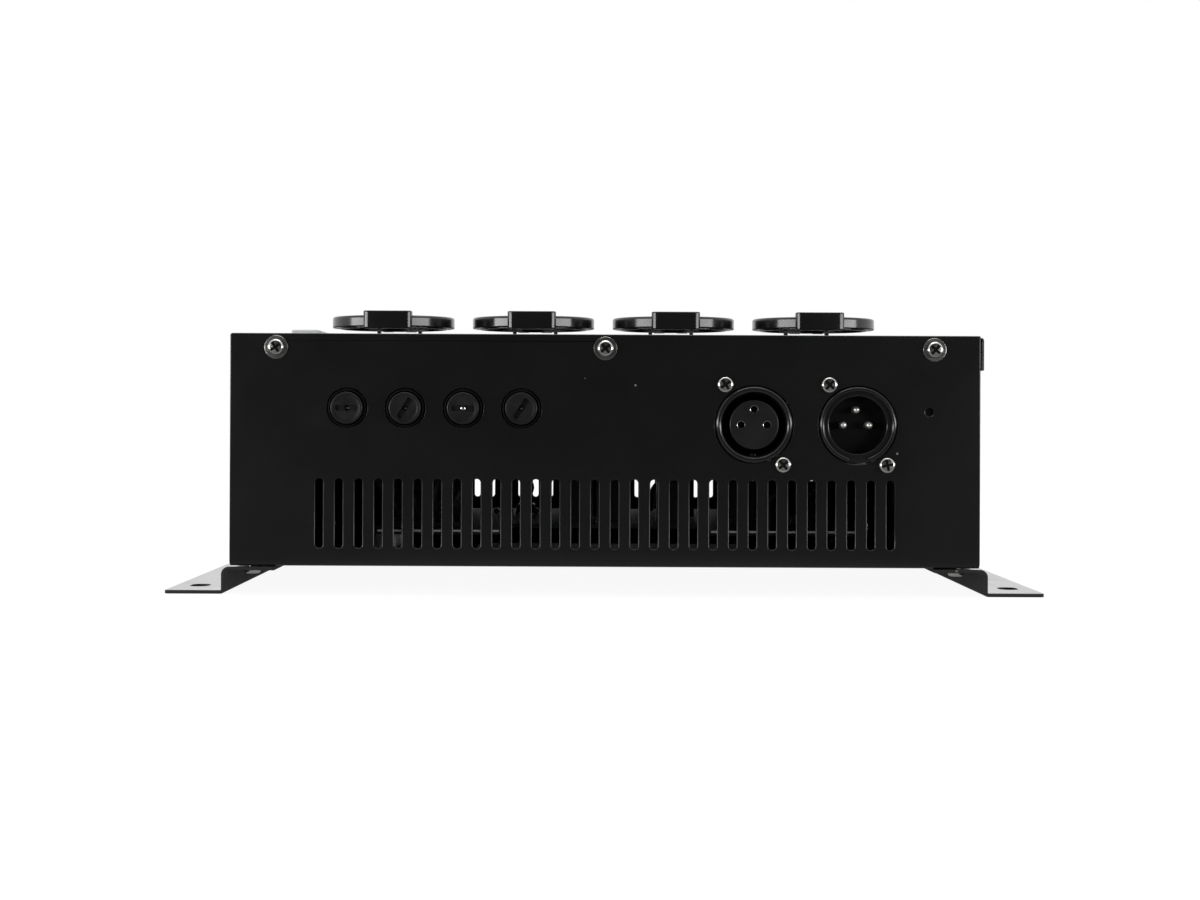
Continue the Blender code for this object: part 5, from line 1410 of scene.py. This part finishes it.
def build_key(i):
    """A key with a dished top, the lip under the cover and its stem."""
    label = "_%d" % (i + 1)
    low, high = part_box("button" + label)
    outer = high.x - low.x
    width = outer - 2 * KEY_LIP
    spot = middle("button" + label)
    centre = (spot.x, spot.y)
    shape = bmesh.new()
    add_soft_prism(shape, lambda inset: rounded_rectangle(width - 2 * inset, width - 2 * inset, 0.0007,
                                                          centre),
                   TOP - 0.0012, high.z, 0.0005, both_ends=False)
    bowl = 0.012
    angles = [0.0] + [0.06 * k for k in range(1, 9)]
    dish = turned([(bowl * math.sin(a), bowl - bowl * math.cos(a)) for a in angles] + [(0, bowl)],
                  Matrix.Translation((spot.x, spot.y, high.z - 0.0003)), 32)
    key = smooth(cut(to_mesh(shape), [dish]))
    lip_low = TOP - 0.0018
    shape = bmesh.new()
    add_prism(shape, rounded_rectangle(outer, high.y - low.y, 0.0006, centre), lip_low, TOP - 0.0011)
    add_prism(shape, rounded_rectangle(0.0035, 0.0035, 0.0003, centre), low.z, lip_low)
    add_piece("key_top" + label, joined([key, to_mesh(shape)]), "button_plastic", body="key" + label,
              stands_for=("button" + label,))


def build_controls():
    """Four keys, the display and four signal lamps."""
    for i in range(CHANNELS):
        build_key(i)
    low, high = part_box("display_module")
    width, depth, height = high - low
    centre = ((low.x + high.x) / 2, (low.y + high.y) / 2)
    shape = bmesh.new()
    add_soft_prism(shape, lambda inset: rounded_rectangle(width - 2 * inset, depth - 2 * inset, 0.0006,
                                                          centre),
                   low.z, low.z + height, 0.0002, both_ends=False)
    add_piece("display_block", to_mesh(shape), "display_window",
              stands_for=("display_module",))
    build_digits(low, high)
    radius = 0.0015
    profile = [(0, -0.006), (radius, -0.006)] + arc((0.0, 0.0), radius, 0, 1, 6)[:-1] + [(0, radius)]
    spots = [(x, y, 0.0) for x, y in lamp_spots()]
    lamps = smooth(field(turned(profile, sides=SMALL_ROUND), spots, raised(TOP - 0.0004)))
    add_piece("signal_lamps", lamps, "lamp_lens")


# Inlet

def build_gland():
    """Hexagonal collar with its threaded sleeve, and the ribbed nut."""
    spot = middle("cable_gland")
    place = on_rear(spot.x, spot.z)
    hexagon = 0.0110
    outline = [(hexagon * math.cos(math.pi * k / 3), hexagon * math.sin(math.pi * k / 3)) for k in range(6)]
    collar = rounded_off(prism(outline, GAP, 0.0053, place), 0.0005)
    bore = 0.0045
    thread = 0.008
    neck = 0.0075
    sleeve = turned([(bore, -0.0087), (thread, -0.0087), (thread, 0.0006), (neck, 0.0006), (neck, 0.0133),
                     (bore, 0.0133)], place, closed=True)
    add_piece("inlet_gland", joined([collar, sleeve]), "satin_plastic",
              stands_for=("cable_gland",))
    start = 0.0056
    end = 0.0196
    inner = 0.0078
    outer = 0.0104
    profile = [(inner, start), (0.0100, start), (outer, start + 0.0004), (outer, start + 0.007),
               (0.0098, start + 0.009)] + arc((inner, end - 0.003), 0.0020, 0.1, 0.9, 5)
    profile += [(0.0055, end), (bore, end - 0.0008), (bore, 0.0136), (inner, 0.0136)]
    nut = turned(profile, place, closed=True)
    rib = bmesh.new()
    add_soft_prism(rib, lambda inset: rounded_rectangle(0.0009 - 1.6 * inset, 0.0012 - 1.6 * inset, 0.0002,
                                                        (0.0101, 0.0)),
                   start + 0.0002, start + 0.0075, 0.0002)
    number = 18
    ribs = field(to_mesh(rib), [(0.0, 0.0, 2 * math.pi * k / number) for k in range(number)], place)
    add_piece("inlet_nut", joined([nut, ribs]), "satin_plastic",
              stands_for=("gland_nut",))
    dress("gland_locknut", "satin_plastic")


def row(x, y, along, across, number, turn=0.0):
    """Evenly spaced (x, y, turn) spots."""
    return [(x + along * k, y + across * k, turn) for k in range(number)]


def build_resistors(top):
    """Rows of round resistors with end caps."""
    spots = row(-0.052, 0.034, 0.0052, 0.0, 6, QUARTER)
    spots += row(0.064, 0.012, 0.0048, 0.0, 4)
    spots += row(-0.070, -0.044, 0.0, 0.005, 5)
    half = 0.0031
    belly = 0.0012
    wire = 0.0003
    lead = half + 0.002
    profile = [(0, -lead), (wire, -lead), (wire, -half), (belly * 0.8, -half)]
    profile += [(belly, 0.0005 - half), (belly, 0.0014 - half), (belly * 0.86, 0.0019 - half)]
    profile += [(radius, -level) for radius, level in reversed(profile)]
    resistor = turned(profile, Matrix.Rotation(QUARTER, 4, "Y"), 12)
    add_piece("board_resistors", field(resistor, spots, raised(top + belly + 0.0002)), "coil_tape")


def build_chips(top):
    """Eight-legged chips and upright film capacitors."""
    shape = bmesh.new()
    soft_box(shape, 0.0066, 0.0094, 0.0003, 0.0006, 0.0040, 0.0003)
    pitch = 0.00254
    reach = 0.0036
    for side in (-1, 1):
        for k in range(4):
            x = side * reach
            y = (k - 1.5) * pitch
            add_prism(shape, rectangle((x - 0.0004, y - 0.0003), (x + 0.0004, y + 0.0003)), 0.0, 0.0022)
    chips = [(-0.030, 0.040, 0.0), (-0.058, -0.018, 0.0), (0.070, -0.040, 0.0), (0.060, 0.048, QUARTER)]
    films = [(-0.0030, 0.0100, 0.0), (0.0585, 0.0085, 0.0), (0.030, 0.0100, 0.0)]
    film = soft_block(0.0100, 0.0060, 0.0008, 0.0004, 0.0165, 0.0005)
    for name, part, spots in (("board_chips", to_mesh(shape), chips), ("film_capacitors", film, films)):
        add_piece(name, field(part, spots, raised(top)), "relay_plastic")


def build_heat_sink(top):
    """A comb of upright fins on a back plate."""
    fins = 12
    pitch = 0.0022
    start = 0.0600
    tall = 0.0150
    fin = soft_block(0.0010, 0.011, 0.0002, 0.0, tall, 0.0002)
    across = start + (fins - 1) * pitch / 2
    plate = soft_block(fins * pitch, 0.0022, 0.0004, 0.0, tall, 0.0003, (across, -0.0078))
    sink = joined([field(fin, row(start, -0.014, pitch, 0.0, fins)), plate])
    sink.transform(raised(top + 0.0001))
    add_piece("heat_sink", sink, "deep_black_and_painted_shade")


def build_insulating_card():
    """A pale card on the floor of the tray, ahead of the boards."""
    card = soft_block(0.095, 0.076, 0.002, 0.0, 0.0003, 0.0001, (0.0030, -0.067))
    card.transform(raised(BASE + 0.0013))
    add_piece("insulating_card", card, "insulating_card")


def build_relays():
    """Four relays: rounded covers on a plinth with a vent nib."""
    low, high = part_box("relay_1")
    width, depth, tall = high - low
    inset = 0.0006
    nib = 0.0014
    shape = bmesh.new()
    soft_box(shape, width - inset, depth - inset, inset, 0.0012, tall, 0.0005)
    add_prism(shape, rounded_rectangle(width, depth, 0.0004, steps=2), 0.0, 0.0016)
    soft_box(shape, nib, nib, 0.0004, tall - 0.0004, tall, 0.0001, (width * 0.3, depth * 0.42))
    nodes = numbered("relay")
    spots = [(middle(node).x, middle(node).y, 0.0) for node in nodes]
    add_piece("relays", field(to_mesh(shape), spots, raised(low.z)), "relay_plastic",
              stands_for=nodes)


def build_transformer():
    """Stacked core plates with a taped winding on its bobbin."""
    low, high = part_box("transformer")
    spot = middle("transformer")
    here = Matrix.Translation(spot)
    plates = 20
    stack = 0.016
    pitch = stack / plates
    half_plate = pitch * 0.44
    outline = rounded_rectangle(high.z - low.z, high.y - low.y, 0.0004, steps=2)
    plate = prism(outline, -half_plate, half_plate, Matrix.Rotation(QUARTER, 4, "Y"))
    core = field(plate, row((1 - plates) / 2 * pitch, 0.0, pitch, 0.0, plates), here)
    add_piece("transformer_core", core, "core_iron", stands_for=("transformer",))
    half = 0.0115
    inset = 0.0010
    coil = soft_block(0.0285, 0.0255, 0.0060, inset - half, half - inset, 0.0006, place=here)
    add_piece("transformer_winding", coil, "coil_tape")
    bobbin = bmesh.new()
    cheek = 0.0012
    for level in (-half, half - cheek):
        soft_box(bobbin, 0.030, 0.027, 0.0020, level, level + cheek, 0.0002, place=here)
    pin_reach = 0.0136
    pin_pitch = 0.005
    for side in (-1, 1):
        for k in range(4):
            pin = circle(0.0004, 8, (side * pin_reach, (k - 1.5) * pin_pitch))
            add_prism(bobbin, pin, low.z - spot.z, cheek / 2 - half, here)
    add_piece("transformer_bobbin", to_mesh(bobbin), "relay_plastic")


def build_terminals():
    """A row of screw terminals with wire mouths."""
    low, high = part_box("terminal_block")
    width, depth, tall = high - low
    pitch = width / CHANNELS
    front = -depth / 2
    slope = 0.0039
    half = pitch / 2 - 0.00012
    side_view = [(front, 0.0), (-front, 0.0), (-front, tall), (front + 0.0035, tall), (front, tall - slope)]
    body = bmesh.new()
    add_rings(body, [[(x, y, z) for y, z in side_view] for x in (-half, half)])
    mouth = bmesh.new()
    rings = []
    for y, grow in ((front - 0.001, 1.2), (0.0, 0.9)):
        outline = rounded_rectangle(0.0042 * grow, 0.0040 * grow, 0.0006, (0.0, 0.0042), 2)
        rings.append([(x, y, z) for x, z in outline])
    add_rings(mouth, rings)
    at_screw = Matrix.Translation((0.0, 0.0015, 0.0))
    sides = 16
    well = plug(0.0018, tall - 0.006, tall + 0.001, at_screw, sides)
    unit = cut(to_mesh(body), [to_mesh(mouth), well])
    unit = rounded_off(unit, 0.00018, 2, math.radians(50))
    spots = row(low.x + pitch / 2, (low.y + high.y) / 2, pitch, 0.0, CHANNELS)
    place = raised(low.z)
    add_piece("terminal_units", field(unit, spots, place), "terminal_plastic",
              stands_for=("terminal_block",))
    level = tall - 0.0028
    radius = 0.00165
    head = turned([(0, level - 0.0025), (radius, level - 0.0025), (radius, level - 0.0002), (0.0015, level),
                   (0, level)], at_screw, sides)
    slot = prism(rectangle((-0.002, 0.00125), (0.002, 0.00175)), level - 0.0006, level + 0.0004)
    screw = smooth(cut(head, [slot]))
    add_piece("terminal_screws", field(screw, spots, place), "zinc")


def bent_line(points, steps=8):
    """A smooth line through points."""
    spots = [Vector(point) for point in points]
    spots = [2 * spots[0] - spots[1]] + spots + [2 * spots[-1] - spots[-2]]
    line = []
    for a, b, c, d in zip(spots, spots[1:], spots[2:], spots[3:]):
        for step in range(steps):
            t = step / steps
            line.append(0.5 * (2 * b + (c - a) * t + (2 * a - 5 * b + 4 * c - d) * t * t
                               + (3 * b - a - 3 * c + d) * t * t * t))
    return line + [spots[-2]]


def build_wiring():
    """Wires from the fuse holders, the outlets, the connectors and the gland to the boards."""
    block, block_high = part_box("terminal_block")
    pitch = (block_high.x - block.x) / CHANNELS
    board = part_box("relay_1")[0].z
    thin = 0.0009
    medium = 0.0011
    thick = 0.0013
    wires = []
    for i, node in enumerate(numbered("fuse_holder")):
        fuse = middle(node)
        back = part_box(node)[1].y
        mouth = Vector((block.x + pitch * (i + 0.5), block.y + 0.0015, block.z + 0.0042))
        wires.append(([(fuse.x, back - 0.0006, fuse.z), (fuse.x, back + 0.005, fuse.z - 0.002),
                       ((fuse.x + mouth.x) / 2 - 0.004, (back + block.y) / 2 + 0.004, 0.040),
                       (mouth.x - 0.001, mouth.y - 0.009, mouth.z + 0.004), mouth], medium))
    for i, node in enumerate(numbered("socket_insert")):
        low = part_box(node)[0].z
        x = middle(node).x
        y = socket_y()
        land = -0.034 + 0.018 * i
        wires.append(([(x, y + 0.008, low + 0.0008), (x, y + 0.010, low - 0.006),
                       ((x + land) / 2, 0.045, low - 0.010), (land + 0.004, 0.062, board + 0.012),
                       (land, 0.066, board + 0.0004)], thick))
    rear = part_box("dmx_pcb")[1].y
    for node, land in (("xlr_female_shell", 0.058), ("xlr_male_shell", 0.070)):
        spot = middle(node)
        wires.append(([(spot.x, rear - 0.0004, spot.z - 0.004), (spot.x, rear + 0.008, spot.z - 0.005),
                       (land + 0.006, -0.066, 0.034), (land, -0.060, board + 0.010), (land, -0.058, board)],
                      thin))
    gland = middle("cable_gland")
    for k in (-1, 0, 1):
        x = gland.x + 0.002 * k
        y = REAR - 0.010
        land = 0.072 + 0.004 * k
        wires.append(([(x, y, gland.z), (x, y - 0.008, gland.z - 0.002),
                       (gland.x - 0.006 + 0.003 * k, 0.086, 0.045), (land, 0.078, board + 0.008),
                       (land, 0.074, board)], medium))
    tubes = [swept(bent_line(points), radius, 10) for points, radius in wires]
    add_piece("wiring", joined(tubes), "wire_cover")


def build_inside():
    """Finishes the boards and builds what stands on them and around them."""
    for node in ("main_pcb", "control_pcb", "dmx_pcb"):
        dress(node, "board_lacquer")
    dress("capacitor", "satin_plastic")
    # The microphone takes the deepest black: painted shade in its hole in the panel.
    dress("microphone", "deep_black_and_painted_shade")
    build_relays()
    build_transformer()
    build_terminals()
    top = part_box("relay_1")[0].z
    build_resistors(top)
    build_chips(top)
    build_heat_sink(top)
    build_insulating_card()
    build_wiring()


def bare_tree(owner):
    """The emptied node tree of a material or a world."""
    owner.use_nodes = True
    owner.node_tree.nodes.clear()
    return owner.node_tree


def build_floor(side):
    """A white floor that glows for the camera, shows mirrored rays a painted pool of light round the pack
    that fades further out, and is plain grey for what it lights.
    """
    mesh = bpy.data.meshes.new("studio_floor")
    corners = rectangle((-side / 2, -side / 2), (side / 2, side / 2))
    mesh.from_pydata([(x, y, 0.0) for x, y in corners], [], [(0, 1, 2, 3)])
    ground = bpy.data.materials.new("white_floor")
    tree = bare_tree(ground)
    seen = add_node(tree, "ShaderNodeLightPath").outputs
    clear = math_node(tree, "MAXIMUM", seen["Is Camera Ray"], seen["Is Glossy Ray"])
    straight = math_node(tree, "MAXIMUM", clear, seen["Is Transmission Ray"])
    spot = add_node(tree, "ShaderNodeTexCoord").outputs["Object"]
    away = add_node(tree, "ShaderNodeVectorMath", {0: spot}, operation="LENGTH").outputs["Value"]
    white = ramp(tree, away, (0.3, 1.6), (0.93, 1.0))
    # Painted pool of light: mirrored rays see the floor glow at 0.30 near the pack, fading to 0.05 beyond
    # 0.24 m.
    mirrored_painted_glow = ramp(tree, away, (0.15, 0.24), (0.30, 0.05))
    level = blend(tree, seen["Is Camera Ray"], mirrored_painted_glow, white)
    glow = add_node(tree, "ShaderNodeEmission", {"Color": WHITE, "Strength": level})
    skin = add_node(tree, "ShaderNodeBsdfDiffuse", {"Color": (0.12, 0.12, 0.12, 1.0)})
    plain = add_node(tree, "ShaderNodeBsdfDiffuse", {"Color": (0.75, 0.75, 0.75, 1.0)})
    pale = add_node(tree, "ShaderNodeAddShader", {0: glow.outputs[0], 1: skin.outputs[0]})
    mix = add_node(tree, "ShaderNodeMixShader", {0: straight, 1: plain.outputs[0], 2: pale.outputs[0]})
    add_node(tree, "ShaderNodeOutputMaterial", {"Surface": mix.outputs[0]})
    mesh.materials.append(ground)
    as_object(mesh, "studio_floor")


def build_sky(air):
    """Light from all round; only mirrored rays see how it darkens towards the front."""
    world = bpy.data.worlds.new("studio_world")
    bpy.context.scene.world = world
    tree = bare_tree(world)
    seen = add_node(tree, "ShaderNodeLightPath").outputs
    mirrored = math_node(tree, "MAXIMUM", seen["Is Glossy Ray"], seen["Is Transmission Ray"])
    way = add_node(tree, "ShaderNodeTexCoord").outputs["Generated"]
    toward = add_node(tree, "ShaderNodeVectorMath", {0: way, 1: (0.0, -1.0, 0.0)}, operation="DOT_PRODUCT")
    shade = ramp(tree, toward.outputs["Value"], (0.35, 0.75), (1.05, 0.03))
    soft = blend(tree, mirrored, air, shade)
    level = blend(tree, seen["Is Camera Ray"], soft, 1.0)
    sky = add_node(tree, "ShaderNodeBackground", {"Color": WHITE, "Strength": level})
    add_node(tree, "ShaderNodeOutputWorld", {"Surface": sky.outputs[0]})


# Stage

def build_stage(sizes):
    """Floor, sky, three lamps and the camera."""
    build_floor(sizes.floor)
    build_sky(sizes.air)
    side_lamp = (0.95, 0.14)
    add_lamp("side_lamp_left", (-0.76, -0.55, 0.10), side_lamp, sizes.lamp_strength)
    add_lamp("side_lamp_right", (0.76, -0.55, 0.10), side_lamp, sizes.right_strength)
    add_lamp("top_lamp", (0.0, 0.1, 1.2), (1.0, 0.8), sizes.top_strength)
    data = bpy.data.cameras.new("front_camera")
    data.lens = sizes.lens
    data.shift_x = 0.0075
    data.shift_y = -0.03
    camera = as_object(data, "front_camera")
    camera.location = (-0.0045, -0.7635, 0.0577)
    camera.rotation_euler = (QUARTER, -0.0044, 0.0)
    bpy.context.scene.camera = camera
    bpy.context.scene.view_settings.view_transform = "Standard"


def add_lamp(name, at, size, power):
    """A soft box that faces the middle of the pack."""
    data = bpy.data.lights.new(name, "AREA")
    data.shape = "RECTANGLE"
    data.size, data.size_y = size
    data.energy = power
    lamp = as_object(data, name)
    lamp.location = at
    lamp.visible_camera = False
    aim = Vector((0.0, 0.0, 0.05)) - Vector(at)
    lamp.rotation_euler = aim.to_track_quat("-Z", "Y").to_euler()


# Operators and panel

class CaseOperator(bpy.types.Operator):
    """Folds the tray, the cover and the two mounting brackets"""
    bl_idname = "switch_pack.case"
    bl_label = "Case and brackets"

    def execute(self, context):
        sizes = context.scene.case_sizes
        build_tray(sizes)
        build_cover(sizes)
        build_bracket(sizes, -1)
        build_bracket(sizes, 1)
        return {"FINISHED"}


class ScrewOperator(bpy.types.Operator):
    """Puts the screws and washers in"""
    bl_idname = "switch_pack.screws"
    bl_label = "Screws"

    def execute(self, context):
        build_screws()
        return {"FINISHED"}


class ConnectorOperator(bpy.types.Operator):
    """Builds the female and the male three-pole connector"""
    bl_idname = "switch_pack.connectors"
    bl_label = "Connectors"

    def execute(self, context):
        sizes = context.scene.connector_sizes
        build_female(sizes)
        build_male(sizes)
        return {"FINISHED"}


class FuseOperator(bpy.types.Operator):
    """Builds the fuse holders and their slotted caps"""
    bl_idname = "switch_pack.fuses"
    bl_label = "Fuse holders"

    def execute(self, context):
        for i in range(CHANNELS):
            build_fuse(context.scene.fuse_sizes, i)
            build_link(i)
        return {"FINISHED"}


class SocketOperator(bpy.types.Operator):
    """Builds the mains outlets with their sprung lids"""
    bl_idname = "switch_pack.sockets"
    bl_label = "Outlets and lids"

    def execute(self, context):
        for i in range(CHANNELS):
            build_socket(context.scene.socket_sizes, i)
        return {"FINISHED"}


class ControlOperator(bpy.types.Operator):
    """Builds the buttons, the display and the signal lamps"""
    bl_idname = "switch_pack.controls"
    bl_label = "Controls"

    def execute(self, context):
        build_controls()
        return {"FINISHED"}


class InletOperator(bpy.types.Operator):
    """Builds the cable gland on the rear"""
    bl_idname = "switch_pack.inlet"
    bl_label = "Cable inlet"

    def execute(self, context):
        build_gland()
        return {"FINISHED"}


class InsideOperator(bpy.types.Operator):
    """Builds the relays, the transformer, the terminals and the wiring, and finishes the boards"""
    bl_idname = "switch_pack.inside"
    bl_label = "Boards and parts inside"

    def execute(self, context):
        build_inside()
        return {"FINISHED"}


class StageOperator(bpy.types.Operator):
    """Sets up the floor, the light and the camera"""
    bl_idname = "switch_pack.stage"
    bl_label = "Stage"

    def execute(self, context):
        build_stage(context.scene.stage_sizes)
        return {"FINISHED"}


GROUPS = (("case_sizes", CaseSizes), ("connector_sizes", ConnectorSizes), ("fuse_sizes", FuseSizes),
          ("socket_sizes", SocketSizes), ("control_sizes", ControlSizes), ("inside_sizes", InsideSizes),
          ("stage_sizes", StageSizes))
OPERATORS = (CaseOperator, ScrewOperator, ConnectorOperator, FuseOperator, SocketOperator, ControlOperator,
             InletOperator, InsideOperator, StageOperator)


class SwitchPackPanel(bpy.types.Panel):
    """Lists the steps that build the switch pack"""
    bl_idname = "VIEW3D_PT_switch_pack"
    bl_label = "Switch pack"
    bl_space_type = "VIEW_3D"
    bl_region_type = "UI"
    bl_category = "Switch pack"

    def draw(self, context):
        """Shows a button for each step and all the sizes."""
        for operator in OPERATORS:
            self.layout.operator(operator.bl_idname)
        for name, group in GROUPS:
            box = self.layout.box()
            box.label(text=group.__doc__)
            for field_name in group.__annotations__:
                box.prop(getattr(context.scene, name), field_name)


def register():
    """Makes the sizes, the operators and the panel known to Blender."""
    for name, group in GROUPS:
        bpy.utils.register_class(group)
        setattr(bpy.types.Scene, name, PointerProperty(type=group))
    for operator in OPERATORS:
        bpy.utils.register_class(operator)
    bpy.utils.register_class(SwitchPackPanel)


def unregister():
    """Takes them away again."""
    bpy.utils.unregister_class(SwitchPackPanel)
    for operator in reversed(OPERATORS):
        bpy.utils.unregister_class(operator)
    for name, group in reversed(GROUPS):
        delattr(bpy.types.Scene, name)
        bpy.utils.unregister_class(group)


def main():
    """Builds the whole switch pack and its stage."""
    register()
    steps = bpy.ops.switch_pack
    steps.case()
    steps.screws()
    steps.connectors()
    steps.fuses()
    steps.sockets()
    steps.controls()
    steps.inlet()
    steps.inside()
    steps.stage()


if __name__ == "__main__":
    main()
